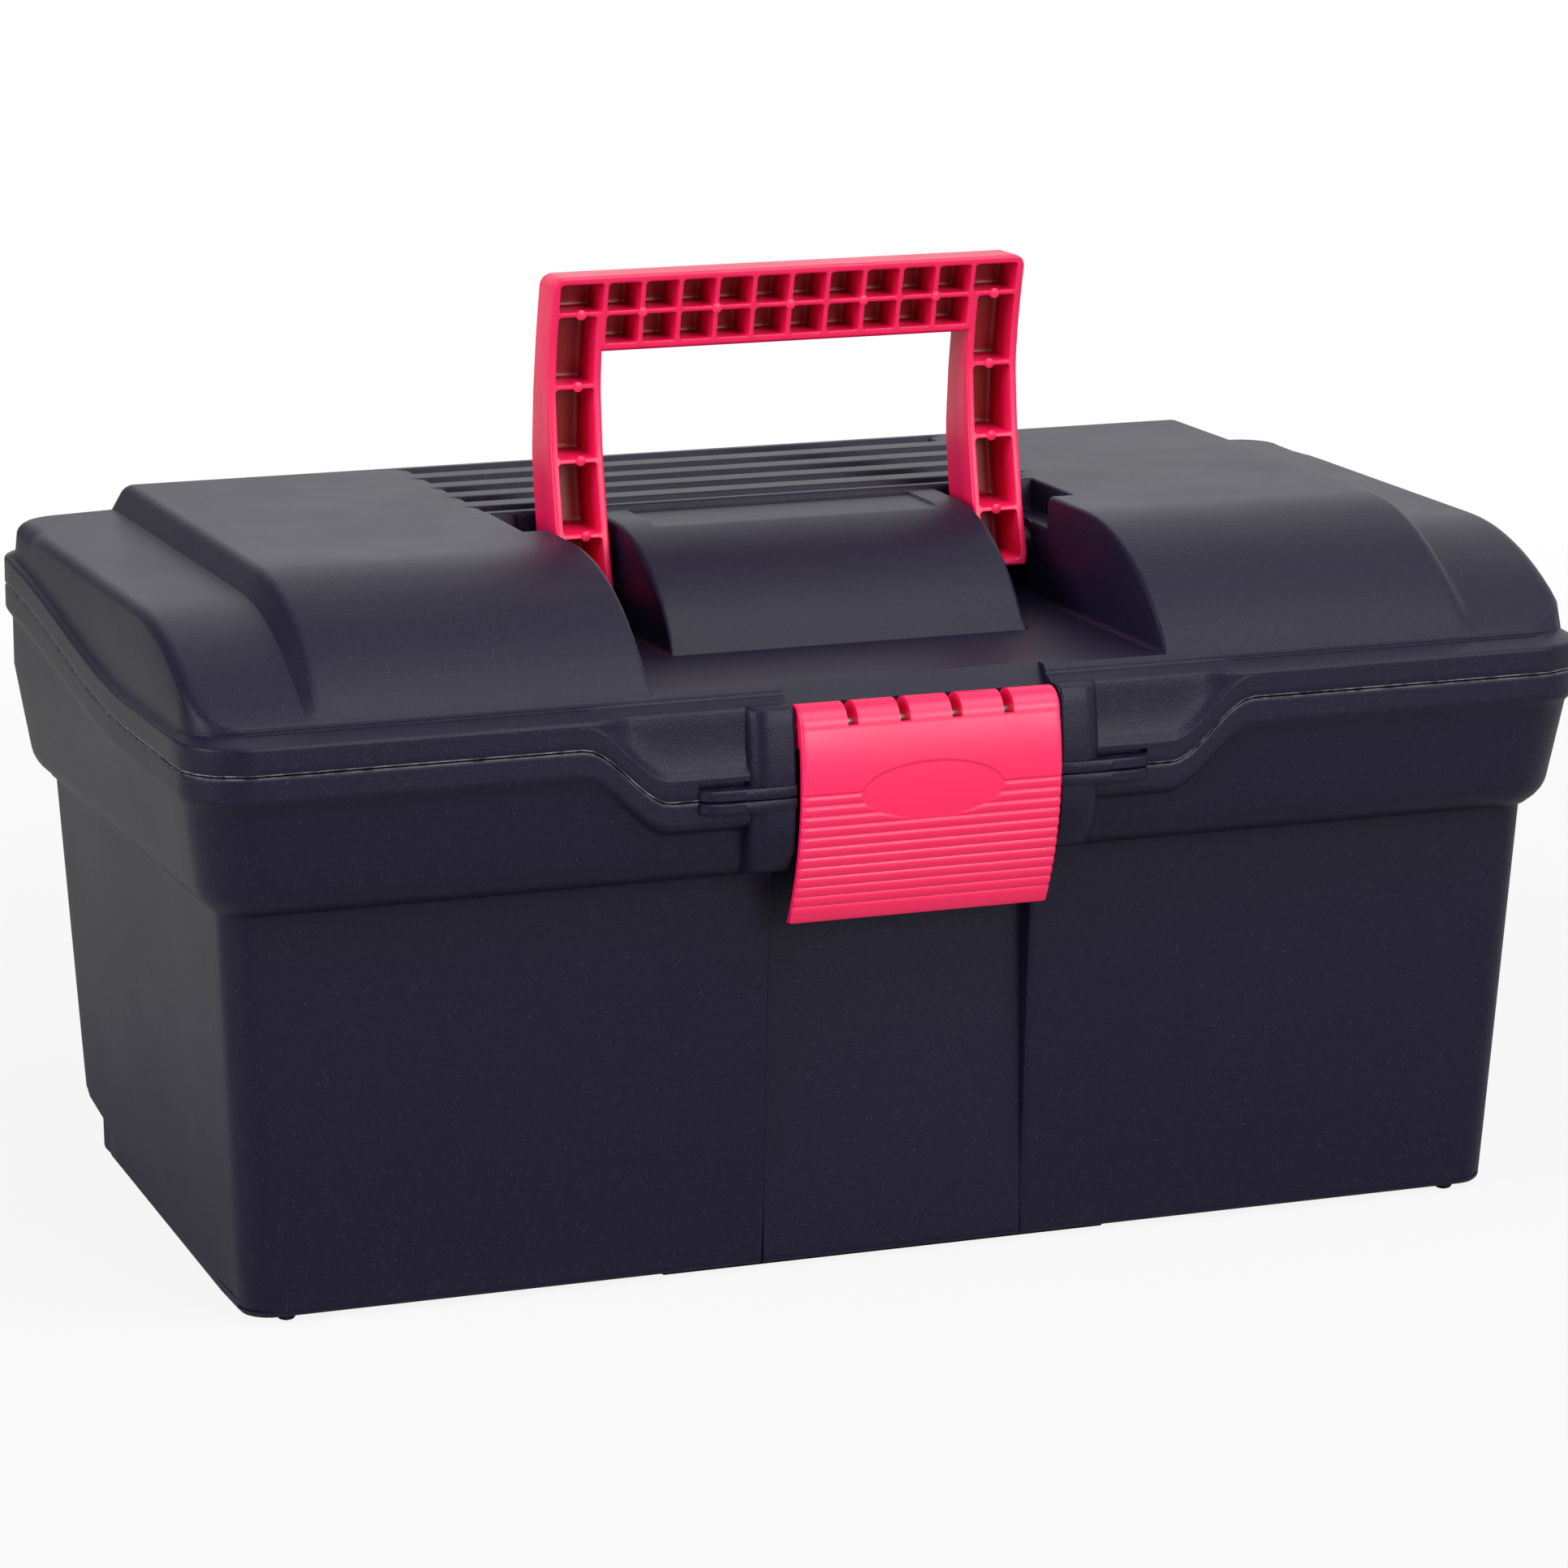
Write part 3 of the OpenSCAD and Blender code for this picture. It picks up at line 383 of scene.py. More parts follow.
def carve(high, low, into, top_r, foot_r, run=WALL_RUN):
    """Height across a wall, from high where into is negative to low, with both of its edges rounded."""
    high, low, into = np.broadcast_arrays(np.asarray(high, float), np.asarray(low, float), np.asarray(into, float))
    drop = np.maximum(high - low, 1e-6)
    turn = np.arctan2(drop, run)
    reach = np.tan(turn / 2)
    most = 0.45 * drop / (reach * np.sin(turn))
    top_r = np.minimum(top_r, most)
    foot_r = np.minimum(foot_r, most)
    height = np.clip(high - drop * (into / run + 0.5), low, high)
    past = into + run / 2 + top_r * reach
    on_top = (past > 0) & (past < top_r * np.sin(turn))
    height = np.where(on_top, high - top_r + np.sqrt(np.maximum(top_r**2 - past**2, 0)), height)
    short = run / 2 + foot_r * reach - into
    on_foot = (short > 0) & (short < foot_r * np.sin(turn))
    height = np.where(on_foot, low + foot_r - np.sqrt(np.maximum(foot_r**2 - short**2, 0)), height)
    return np.where(high > low, height, high)


def round_front(y, top, foot, start, run, inset):
    """Height of a form that is level behind start and rounds down over run to its foot."""
    drop = top - foot
    radius = (run * run + drop * drop) / (2 * drop)
    ahead = np.clip(start - y, 0, radius - inset)
    return top - radius + np.sqrt((radius - inset) ** 2 - ahead**2)


def near(at, low_r, high_r, side):
    """Grid lines along a wall with a rounded foot and top; side is the direction of the high ground."""
    half = WALL_RUN / 2
    foot = at - side * (half + low_r * ARC_SHARES)
    top = at + side * (half + high_r * ARC_SHARES)
    return np.concatenate([foot, [at - half, at + half], top])


def arc_angles(start, end, steps):
    """Angles in radians, both ends included."""
    return np.radians(np.linspace(start, end, steps + 1))


# Mesh building

class Shell:
    """Collects grids of points, in millimetres, into one mesh."""

    def __init__(self):
        self.points, self.marks, self.faces, self.size = [], [], [], 0

    def add(self, points, mark=0.0):
        """Adds points and returns their indices."""
        points = np.asarray(points, float)
        flat = points.reshape(-1, 3)
        first = self.size
        self.points.append(flat)
        self.marks.append(np.broadcast_to(mark, points.shape[:-1]).reshape(-1))
        self.size += len(flat)
        return np.arange(first, self.size).reshape(points.shape[:-1])

    def grid(self, points, mark=0.0, wrap=False, keep=None):
        """Quads over a grid of points, closed along its rows if wrap is set."""
        index = self.add(points, mark)
        if wrap:
            index = np.hstack([index, index[:, :1]])
        quads = np.stack([index[:-1, :-1], index[:-1, 1:], index[1:, 1:], index[1:, :-1]], -1)
        if keep is not None:
            quads = quads[keep]
        self.faces.extend(quads.reshape(-1, 4).tolist())
        return index

    def cap(self, loop):
        """One flat face over a closed row of points."""
        self.faces.append(self.add(loop).tolist())

    def tube(self, points, mark=0.0):
        """Quads round a grid whose rows are closed, and a flat face over each of its two ends."""
        self.grid(points, mark, wrap=True)
        self.cap(points[0])
        self.cap(points[-1])

    def lathe(self, profile, origin, axis, steps=32):
        """A turned form; profile is a list of (along, radius) and axis is 0, 1 or 2."""
        profile = np.asarray(profile, float)
        angles = np.linspace(0, 2 * np.pi, steps, endpoint=False)
        points = np.empty((len(profile), steps, 3))
        points[..., axis] = profile[:, :1]
        points[..., (axis + 1) % 3] = profile[:, 1:] * np.cos(angles)
        points[..., (axis + 2) % 3] = profile[:, 1:] * np.sin(angles)
        points += np.asarray(origin, float)
        self.grid(points, wrap=True)
        for end in (0, -1):
            if profile[end, 1] > 0.05 and not np.allclose(profile[0], profile[-1]):
                self.cap(points[end])

    def build(self, name, sharp=38.0):
        """The finished mesh as an object, in metres, with edges steeper than sharp, in degrees, kept crisp."""
        mesh = bpy.data.meshes.new(name)
        mesh.from_pydata(np.concatenate(self.points) * MM, [], self.faces)
        marks = mesh.attributes.new(SCUFF_AND_POCKET_SHADE, "FLOAT", "POINT")
        marks.data.foreach_set("value", np.concatenate(self.marks).astype(np.float32))
        form = bmesh.new()
        form.from_mesh(mesh)
        bmesh.ops.remove_doubles(form, verts=form.verts, dist=WELD * MM)
        bmesh.ops.dissolve_degenerate(form, edges=form.edges, dist=WELD * MM)
        bmesh.ops.recalc_face_normals(form, faces=form.faces)
        form.to_mesh(mesh)
        form.free()
        mesh.shade_smooth()
        mesh.set_sharp_from_angle(angle=math.radians(sharp))
        made = bpy.data.objects.new(name, mesh)
        bpy.context.scene.collection.objects.link(made)
        return made


def stack(*rows):
    """Rows of (x, y, z) columns as one grid."""
    return np.stack([np.stack(np.broadcast_arrays(*row), -1) for row in rows])


def edge_loop(rows, cols):
    """Row and column indices round a grid's edge, from its front left corner and along its front first."""
    row = np.concatenate([np.zeros(cols, int), np.arange(1, rows), np.full(cols - 1, rows - 1),
                          np.arange(rows - 2, 0, -1)])
    col = np.concatenate([np.arange(cols), np.full(rows - 1, cols - 1), np.arange(cols - 2, -1, -1),
                          np.zeros(rows - 2, int)])
    return row, col


def bar(shell, inner_x, outer_x, levels, fronts, back, inner_r, outer_r):
    """An upright bar, crisp beside the latch and well rounded on its outer side, through several levels."""
    side = np.sign(outer_x)
    turns = arc_angles(0, 90, 8)
    sections = []
    for z, front in zip(levels, fronts):
        xs = np.concatenate([[outer_x], outer_x - side * outer_r * (1 - np.cos(turns)),
                             inner_x + side * inner_r * (1 - np.cos(turns[::-1])), [inner_x]])
        ys = np.concatenate([[back], front + outer_r * (1 - np.sin(turns)),
                             front + inner_r * (1 - np.sin(turns[::-1])), [back]])
        sections.append((xs, np.minimum(ys, back), z))
    shell.tube(stack(*sections))


def slab(shell, low, high, edge):
    """A block with rounded upright and level edges, and flat rings inside the edges of its two level faces."""
    middle = (np.asarray(low) + np.asarray(high)) / 2
    half = (np.asarray(high) - np.asarray(low)) / 2
    turns = arc_angles(0, 90, 3)
    corners = [(1, 1), (-1, 1), (-1, -1), (1, -1)]
    around = np.concatenate([turns + np.pi / 2 * k for k in range(4)])
    signs = np.repeat(np.array(corners, float), len(turns), axis=0)
    rows = []
    for level, sides in ((-1, turns), (1, turns[::-1])):
        for a in sides:
            inset = edge * (1 - np.sin(a))
            z = level * (half[2] - edge * (1 - np.cos(a)))
            reach = np.maximum(edge - inset, 0)
            x = signs[:, 0] * (half[0] - edge) + reach * np.cos(around)
            y = signs[:, 1] * (half[1] - edge) + reach * np.sin(around)
            rows.append((x + middle[0], y + middle[1], z + middle[2]))
    points = stack(*rows)
    shell.grid(points, wrap=True)
    ring = 0.95
    for end in (points[0], points[-1]):
        inner = end.mean(0) + ring * (end - end.mean(0))
        shell.grid(np.stack([end, inner]), wrap=True)
        shell.cap(inner)


def padlock_tab(shell, side, z0, z1, rim):
    """A flat ear with a round hole, growing out of a post."""
    turns = np.linspace(0, 2 * np.pi, 64, endpoint=False)
    toward = rim.tab_x - rim.pocket_x
    cosine, sine = np.cos(turns), np.sin(turns)
    square = np.minimum(rim.tab_r / np.maximum(np.abs(sine), 1e-6), toward / np.maximum(-cosine, 1e-6))
    blunt = ((np.abs(cosine) / rim.tab_l) ** 2.3 + (np.abs(sine) / rim.tab_r) ** 2.3) ** (-1 / 2.3)
    outline = np.where(cosine >= 0, blunt, square)
    soft = 0.5
    profile = [(rim.tab_hole + soft, z0), (-soft, z0), (0.0, z0 + soft), (0.0, z1 - soft), (-soft, z1),
               (rim.tab_hole + soft, z1), (rim.tab_hole, z1 - soft), (rim.tab_hole, z0 + soft),
               (rim.tab_hole + soft, z0)]
    y_mid = rim.tab_r - rim.post_out - rim.half_d
    rows = []
    for radius, z in profile:
        reach = outline + radius if radius <= 0 else np.full_like(outline, radius)
        rows.append((side * (rim.tab_x + reach * cosine), y_mid + reach * sine, z))
    shell.grid(stack(*rows), wrap=True)


def knuckle(shell, x0, x1, rim):
    """A hinge knuckle with its bore."""
    soft = 0.6
    r, bore = rim.knuckle_r, rim.pin_r
    profile = [(x0, bore), (x0, r - soft), (x0 + soft, r), (x1 - soft, r), (x1, r - soft), (x1, bore), (x0, bore)]
    shell.lathe(profile, (0, rim.hinge_y, rim.part_z + rim.part_rise), 0, 40)


# The lid

def lid_height(x, y, lid, inset):
    """Height of the lid's top, or of its inside where inset is the wall."""
    far = np.abs(x)
    slope_mid = lid.platform_x + lid.platform_slope / 2
    slope_out = lid.platform_x + lid.platform_slope
    fall = np.clip((far + inset - slope_out) / (lid.body_x - lid.plateau_r - slope_out), 0, 1)
    plateau = lid.plateau_z - (lid.plateau_z - lid.plateau_edge_z) * fall
    crest = carve(lid.top_z, plateau, far + inset - slope_mid, lid.slope_top, lid.slope_foot, lid.platform_slope)
    height = round_front(y, crest, lid.foot_z, lid.dome_y, lid.dome_y + lid.body_y, inset)
    behind = lid.channel_back + inset - y
    in_notch = np.minimum(np.minimum(lid.notch_x + inset - far, y - lid.notch_y + inset), behind)
    height = carve(height, lid.notch_z - inset, in_notch, NOTCH_R, NOTCH_R)
    in_channel = np.minimum(lid.channel_x + inset - far, behind)
    height = carve(height, lid.floor_z - inset, in_channel, lid.channel_edge, lid.channel_foot)
    block = round_front(y, lid.block_z, lid.floor_z, lid.block_arc_y, lid.block_arc_y - lid.block_y, inset)
    block = carve(block, lid.floor_z - inset, far - lid.block_x + inset, lid.channel_edge, lid.channel_foot)
    height = np.where(behind > 0, np.maximum(height, block), height)
    if inset == 0:
        in_recess = np.minimum(lid.recess_x - far, lid.channel_back - RECESS_BACK - y)
        sunk = carve(height, lid.block_z - lid.recess_depth, in_recess, RECESS_R, RECESS_R)
        height = np.where(behind > 0, sunk, height)
    for i in range(lid.groove_n):
        across = lid.groove_w / 2 + inset - np.abs(y - lid.groove_y - i * lid.groove_pitch)
        along = (lid.groove_x + inset - far) * WALL_RUN / lid.groove_end
        low = lid.top_z - lid.groove_depth - inset
        height = carve(height, low, np.minimum(across, along), GROOVE_TOP_R, GROOVE_FOOT_R)
    return height


def lid_columns(rim, lid, inset, reach):
    """Places along X of the lid's grid lines, dense where a wall stands; plain numbers fill the stretches between."""
    pocket = rim.pocket_x + inset
    half = np.concatenate([
        [12, 24, 33, pocket - 0.1, pocket + 0.1], TAB_RECESS - TAB_SLANT / 2, TAB_RECESS + TAB_SLANT / 2,
        near(lid.recess_x, RECESS_R, RECESS_R, 1), near(lid.block_x - inset, lid.channel_foot, lid.channel_edge, -1),
        near(lid.channel_x + inset, lid.channel_foot, lid.channel_edge, 1),
        near(lid.notch_x + inset, NOTCH_R, NOTCH_R, 1), lid.groove_x + inset - np.linspace(0, lid.groove_end, 4),
        [84.5, 87.5, 90.5, 93, 96, 100, 112, 126, 140, 152],
        lid.platform_x - inset + lid.slope_top * np.linspace(-0.64, 0.28, 8),
        lid.platform_x - inset + lid.platform_slope + lid.slope_foot * np.linspace(-0.3, 0.64, 5),
        np.linspace(174, reach, 8),
    ])
    half = np.sort(half)
    return np.concatenate([-half[::-1], [0.0], half])


def lid_rows(lid, inset, reach):
    """Places along Y of the lid's grid lines, dense where a wall stands; plain numbers fill the stretches between."""
    rows = [-reach + np.array([0, 1.5, 3.5, 6]), np.linspace(-86, -57, 9), [-55, -54.2, -53.4, -51.5],
            np.linspace(-48, -20, 10), near(lid.notch_y - inset, NOTCH_R, NOTCH_R, -1), [-14.6, -13.9, -13.2, -11],
            np.linspace(-8, 8, 5), near(lid.channel_back - RECESS_BACK, RECESS_R, RECESS_R, 1),
            near(lid.channel_back + inset, lid.channel_foot, lid.channel_edge, 1)]
    for i in range(lid.groove_n):
        middle = lid.groove_y + i * lid.groove_pitch
        for side in (-1, 1):
            rows.append(near(middle + side * (lid.groove_w / 2 + inset), GROOVE_FOOT_R, GROOVE_TOP_R, side))
        rows.append([middle])
    rows.append(reach - np.array([0, 0.25, 0.8, 1.6, 2.6]))
    return np.sort(np.clip(np.concatenate(rows), -reach, reach))


def outer_round(y, lid, inset):
    """Radius of the lid's outer top edge, which grows towards the back."""
    return lid.plateau_r + (lid.back_r - lid.plateau_r) * ease((y - 60) / 30) - inset


def lid_skin(rim, lid, inset):
    """The lid's top as a grid, and the columns that run from the grid's edge out to the rim."""
    half_x, half_y, corner = lid.body_x - inset, lid.body_y - inset, lid.body_r - inset
    grid_x, grid_y, grid_r = half_x - RING, half_y - RING, corner - RING
    follow = lid.platform_x + lid.platform_slope + 2
    u, y = np.meshgrid(lid_columns(rim, lid, inset, grid_x), lid_rows(lid, inset, grid_y))
    turn = np.maximum(np.abs(y) - (grid_y - grid_r), 0)
    reach = grid_x - grid_r + np.sqrt(np.maximum(grid_r**2 - turn**2, 0))
    warped = follow + (np.abs(u) - follow) * (reach - follow) / (grid_x - follow)
    x = np.where(np.abs(u) > follow, np.sign(u) * warped, u)
    level = rim.band_h + (lid.step_h if inset == 0 else -rim.wall)
    out = round_rect_distance(x, y, half_x, half_y, corner)
    z = carve(lid_height(x, y, lid, inset), side_line(y, rim) + level, out, outer_round(y, lid, inset), FOOT_R)
    row, col = edge_loop(*x.shape)
    ex, ey = x[row, col], y[row, col]
    across = (row == 0) | (row == x.shape[0] - 1)
    nx = np.where(across, 0.0, np.sign(ex) * np.clip((np.abs(ex) - grid_x + grid_r) / grid_r, 0, 1))
    ny = np.where(across, np.sign(ey), np.sign(ey) * np.maximum(np.abs(ey) - grid_y + grid_r, 0) / grid_r)
    inward = 0.0 if inset == 0 else rim.band_proud + rim.wall
    rim_x, rim_y, rim_r = rim.half_l - inward, rim.half_d - inward, rim.corner - inward
    body_x, body_y = ex + nx * RING, ey + ny * RING
    straight = ~across & (ny == 0)
    out_x = np.where(across, ex, np.sign(ex) * (rim_x - rim_r + rim_r * np.abs(nx)))
    out_y = np.where(straight, ey, np.sign(ey) * (rim_y - rim_r + rim_r * np.abs(ny)))
    pocket = (row == 0) & (np.abs(ex) < rim.pocket_x + inset)
    out_x, out_y = np.where(pocket, body_x, out_x), np.where(pocket, body_y, out_y)
    ledge = np.hypot(out_x - body_x, out_y - body_y)
    with np.errstate(invalid="ignore", divide="ignore"):
        go_x = np.where(ledge > 0, (out_x - body_x) / ledge, 0.0)
        go_y = np.where(ledge > 0, (out_y - body_y) / ledge, 0.0)
    line = np.where(row == 0, front_line(ex, rim), side_line(out_y, rim)) + rim.gap
    return SimpleNamespace(
        grid=np.stack([x, y, z], -1), edge=(ex, ey, z[row, col]), body_x=body_x, body_y=body_y, nx=nx, ny=ny,
        out_x=out_x, out_y=out_y, go_x=go_x, go_y=go_y, ledge=ledge, pocket=pocket, line=line, front=row == 0,
        level=level, inset=inset, band=side_line(out_y, rim), round_r=outer_round(ey, lid, inset),
    )


def fascia_lean(skin, rim, lid):
    """How far the flange leans back at its top, which it does only where it is tall."""
    tall = skin.band + rim.band_h - rim.edge - skin.line - lid.bead
    return lid.lean * ease(tall / 10) * ~skin.pocket


def lid_ledge(skin, rim, lid, edge):
    """Rows of points from the edge of the lid's grid over the wall's foot and across the ledge."""
    rows = [skin.edge]
    room = np.maximum(skin.ledge - edge - (fascia_lean(skin, rim, lid) if skin.inset == 0 else 0.0), 0)
    step_h = lid.step_h if skin.inset == 0 else 0.0
    broad = ease((skin.ledge - 2.0) / 5)
    fall = step_h * np.where(skin.pocket, 1.0, broad)
    flat = side_line(skin.body_y, rim) + skin.level - step_h + fall
    apron = skin.pocket & (skin.inset == 0)
    flat = np.where(apron, lid.apron_z, flat)
    for out in RING_STEPS:
        x, y = skin.body_x + skin.nx * out, skin.body_y + skin.ny * out
        z = carve(lid_height(x, y, lid, skin.inset), flat, out, skin.round_r, FOOT_R)
        slope = lid.floor_z - (lid.floor_z - flat) * (1 + out / lid.apron)
        rows.append((x, y, np.where(apron, np.minimum(z, slope), z)))
    top = lid_height(skin.body_x, skin.body_y, lid, skin.inset)
    narrow = (1 - ease((skin.ledge - rim.wall) / 1.2)) * (skin.inset == 0)
    wide = np.minimum(FOOT_R + (room - FOOT_R) * narrow, room)
    tall = np.minimum(FOOT_R + (lid.foot_soft - FOOT_R) * narrow, top - flat)
    first = 0.1 * room
    for part in (0.0, 0.04, 0.12, 0.26, 0.48, 0.75, 1.0):
        step = first + (wide - first) * part
        x, y = skin.body_x + skin.go_x * step, skin.body_y + skin.go_y * step
        rise = tall * (1 - np.sqrt(1 - (1 - part) ** 2))
        rows.append((x, y, flat - fall * step / np.maximum(room, 0.01) + rise))
    for part in (0.3, 0.6, 0.95):
        step = wide + (room - wide) * part
        x, y = skin.body_x + skin.go_x * step, skin.body_y + skin.go_y * step
        rows.append((x, y, side_line(y, rim) + skin.level - step_h + fall * (1 - step / np.maximum(room, 0.01))))
    return rows


def lid_flange(skin, rim, lid):
    """Rows of points over the rim's rounded edge and down the flange, with its bead and inset panel."""
    rows = []
    top = skin.band + rim.band_h
    lean = fascia_lean(skin, rim, lid)
    for a in arc_angles(0, 90, 5):
        back = np.minimum(rim.edge * (1 - np.sin(a)) + lean, skin.ledge)
        rows.append((skin.out_x - skin.go_x * back, skin.out_y - skin.go_y * back, top - rim.edge * (1 - np.cos(a))))
    upper = top - rim.edge
    bead = np.minimum(skin.line + lid.bead, upper - 0.3)
    gap = upper - bead
    depth = lid.fascia * ease(gap / 8) * ~skin.pocket
    low = np.minimum(gap * 0.3, 2.4)
    faces = [(upper - gap * 0.08, 0.05 * depth), (upper - gap * 0.2, 0.25 * depth), (bead + gap * 0.5, 0.8 * depth),
             (bead + low, depth), (bead + low * 0.6, 0.85 * depth),
             (bead + low * 0.25, 0.45 * depth), (bead, 0.12 * depth), (bead - 0.6, 0.0)]
    below = [(up, 0.0) for up in (5.4, 4.35, 4.25, 3.15, 3.0, 2.0, 0.5)] + [(0.15, 0.15), (0.0, 0.5)]
    faces += [(np.minimum(skin.line + up, bead - 0.6), back) for up, back in below]
    faces.append((skin.line, 0.8))
    far = np.abs(skin.out_x)
    over_tab, slit = skin.front & (far > TAB_RECESS[0]) & (far < TAB_RECESS[1]), (0.1, 1.3)
    for z, back in faces:
        back = back + lean * np.clip((z - bead) / np.maximum(gap, 0.01), 0, 1)
        above = z - skin.line
        hole = over_tab & (above > rim.tab_t + slit[0]) & (above < rim.tab_t + slit[1])
        back = np.where(hole, lid.recess_over_tab, back) * ~skin.pocket
        rows.append((skin.out_x - skin.go_x * back, skin.out_y - skin.go_y * back, z))
    return rows


def lid_inner(skin, outer, rim):
    """Rows of points up the inside of the flange, from the outer parting line."""
    rows = []
    roof = skin.band + rim.band_h - rim.wall
    for up in (0.0, 0.5, 1.0):
        z = outer.line + (roof - outer.line) * up
        rows.append((skin.out_x, skin.out_y, z))
    return rows


def make_lid(rim, lid, handle):
    """The lid as one moulding: skin, flange, posts, tabs, bosses and knuckles."""
    shell = Shell()
    outer, inner = lid_skin(rim, lid, 0.0), lid_skin(rim, lid, rim.wall)
    shell.grid(outer.grid)
    shell.grid(inner.grid[:, ::-1])
    outside = lid_ledge(outer, rim, lid, rim.edge) + lid_flange(outer, rim, lid)
    inside = lid_inner(inner, outer, rim) + lid_ledge(inner, rim, lid, 0.0)[::-1]
    rows = stack(*outside, *inside)
    wall = slice(1 + len(RING_STEPS), len(outside))
    rows[wall, outer.pocket, 2] = np.minimum(rows[wall, outer.pocket, 2], lid.apron_z)
    mark = np.zeros(rows.shape[:2])
    mark[len(outside) - 3 : len(outside) - 1] = 1.0
    shell.grid(rows, mark, wrap=True)
    dip_z = rim.part_z - rim.dip
    top = rim.part_z + rim.band_h
    for side in (-1, 1):
        inner_x, outer_x = side * rim.pocket_x, side * (rim.pocket_x + rim.post_w)
        foot = -rim.half_d - rim.post_out
        levels = [dip_z + rim.gap, dip_z + rim.gap + 0.4, dip_z + 8, dip_z + 15, top - 5, top - 2.2, top - 0.7, top]
        fronts = foot + np.array([0.8, 0.7, 0.9, 1.6, 2.2, 2.6, 3.2, 4.6])
        bar(shell, inner_x, outer_x, levels, fronts, rim.wall - lid.body_y, rim.post_r, rim.post_round)
        padlock_tab(shell, side, dip_z + rim.gap, dip_z + rim.gap + rim.tab_t, rim)
        knuckle(shell, side * rim.hinge_x - rim.knuckle_l / 2, side * rim.hinge_x + rim.knuckle_l / 2, rim)
        bore, boss_r, sleeve_r = handle.stub_r + 0.1, handle.stub_r + 3.5, handle.stub_r + 1.3
        collar, cheek, end = handle.half_w + 0.4, lid.channel_x + 0.3, lid.channel_x + 8
        boss = [(cheek, boss_r), (end - 0.5, boss_r), (end, boss_r - 0.5), (end, bore), (cheek, bore),
                (cheek, boss_r)]
        sleeve = [(collar, bore), (collar, sleeve_r - 0.3), (collar + 0.3, sleeve_r), (cheek, sleeve_r),
                  (cheek, bore), (collar, bore)]
        for profile in (boss, sleeve):
            turned = [(side * along, radius) for along, radius in profile]
            shell.lathe(turned, (0, handle.pivot_y, handle.pivot_z), 0, 40)
        hinge_z = rim.part_z + rim.part_rise
        slab(shell, (side * rim.hinge_x - rim.knuckle_l / 2, rim.half_d - 1, hinge_z + rim.gap + 0.4),
             (side * rim.hinge_x + rim.knuckle_l / 2, rim.hinge_y - 1.5, hinge_z + rim.knuckle_r - 0.4), 0.5)
    return shell.build("lid_moulding")


# The tub

def tub_columns(rim):
    """Columns round the tub: where each lies on a rounded rectangle, and which stand behind the latch. Three columns
    at each side of the latch's panel lie back, as a fine groove."""
    pocket = rim.pocket_x
    half = np.concatenate([
        [12, 24, 33, pocket - 0.4, pocket, pocket + 0.02, pocket + 0.3, pocket + 0.9, pocket + 2],
        [44, 50, 56, 62, 67], np.linspace(rim.dip_in, rim.dip_out, 10), [103, 115, 130, 145, 160, 173],
    ])
    inset = np.zeros(len(half))
    inset[5:8] = (1.3, 0.5, 0.1)
    panel = half <= pocket
    front = np.concatenate([-half[::-1], [0.0], half])
    back = np.array([173, 150, 120, 90, 60, 30, 0, -30, -60, -90, -120, -150, -173.0])
    sides = np.array([-76, -68, -61, -59, -50, -40, -30, -18, -6, 6, 18, 30, 40, 50, 60, 68, 76.0])
    turns = arc_angles(0, 90, 8)
    parts = []

    def add(x, y, qx, qy, nx, ny, kind, lag, behind):
        size = max(np.size(v) for v in (x, y, nx))
        parts.append(np.stack([np.broadcast_to(v, size) for v in (x, y, qx, qy, nx, ny, kind, lag, behind)], -1))

    add(front, 0, 0, -1, 0, -1, 0, np.concatenate([inset[::-1], [0], inset]),
        np.concatenate([panel[::-1], [True], panel]))
    add(0, 0, 1, -1, np.sin(turns), -np.cos(turns), 2, 0, 0)
    add(0, sides, 1, 0, 1, 0, 1, 0, 0)
    add(0, 0, 1, 1, np.cos(turns), np.sin(turns), 2, 0, 0)
    add(back, 0, 0, 1, 0, 1, 0, 0, 0)
    add(0, 0, -1, 1, -np.sin(turns), np.cos(turns), 2, 0, 0)
    add(0, sides[::-1], -1, 0, -1, 0, 1, 0, 0)
    add(0, 0, -1, -1, -np.cos(turns), -np.sin(turns), 2, 0, 0)
    names = ("x", "y", "qx", "qy", "nx", "ny", "kind", "lag", "behind")
    return SimpleNamespace(**dict(zip(names, np.concatenate(parts).T)))


def tub_ring(cols, half_x, half_y, corner):
    """Places of the columns on a rounded rectangle."""
    x = np.where(cols.kind == 0, cols.x, np.where(cols.kind == 1, cols.qx * half_x,
                                                  cols.qx * (half_x - corner) + corner * cols.nx))
    y = np.where(cols.kind == 0, cols.qy * half_y, np.where(cols.kind == 1, cols.y,
                                                            cols.qy * (half_y - corner) + corner * cols.ny))
    return x, y + cols.lag


def flat_and_round(radius):
    """Inset and rise of rows that lead from a level face's flat ring up round its edge."""
    turns = arc_angles(0, 90, 3)
    return [(radius + FLAT_RING, 0.0)] + [(radius * (1 - np.sin(a)), radius * (1 - np.cos(a))) for a in turns]


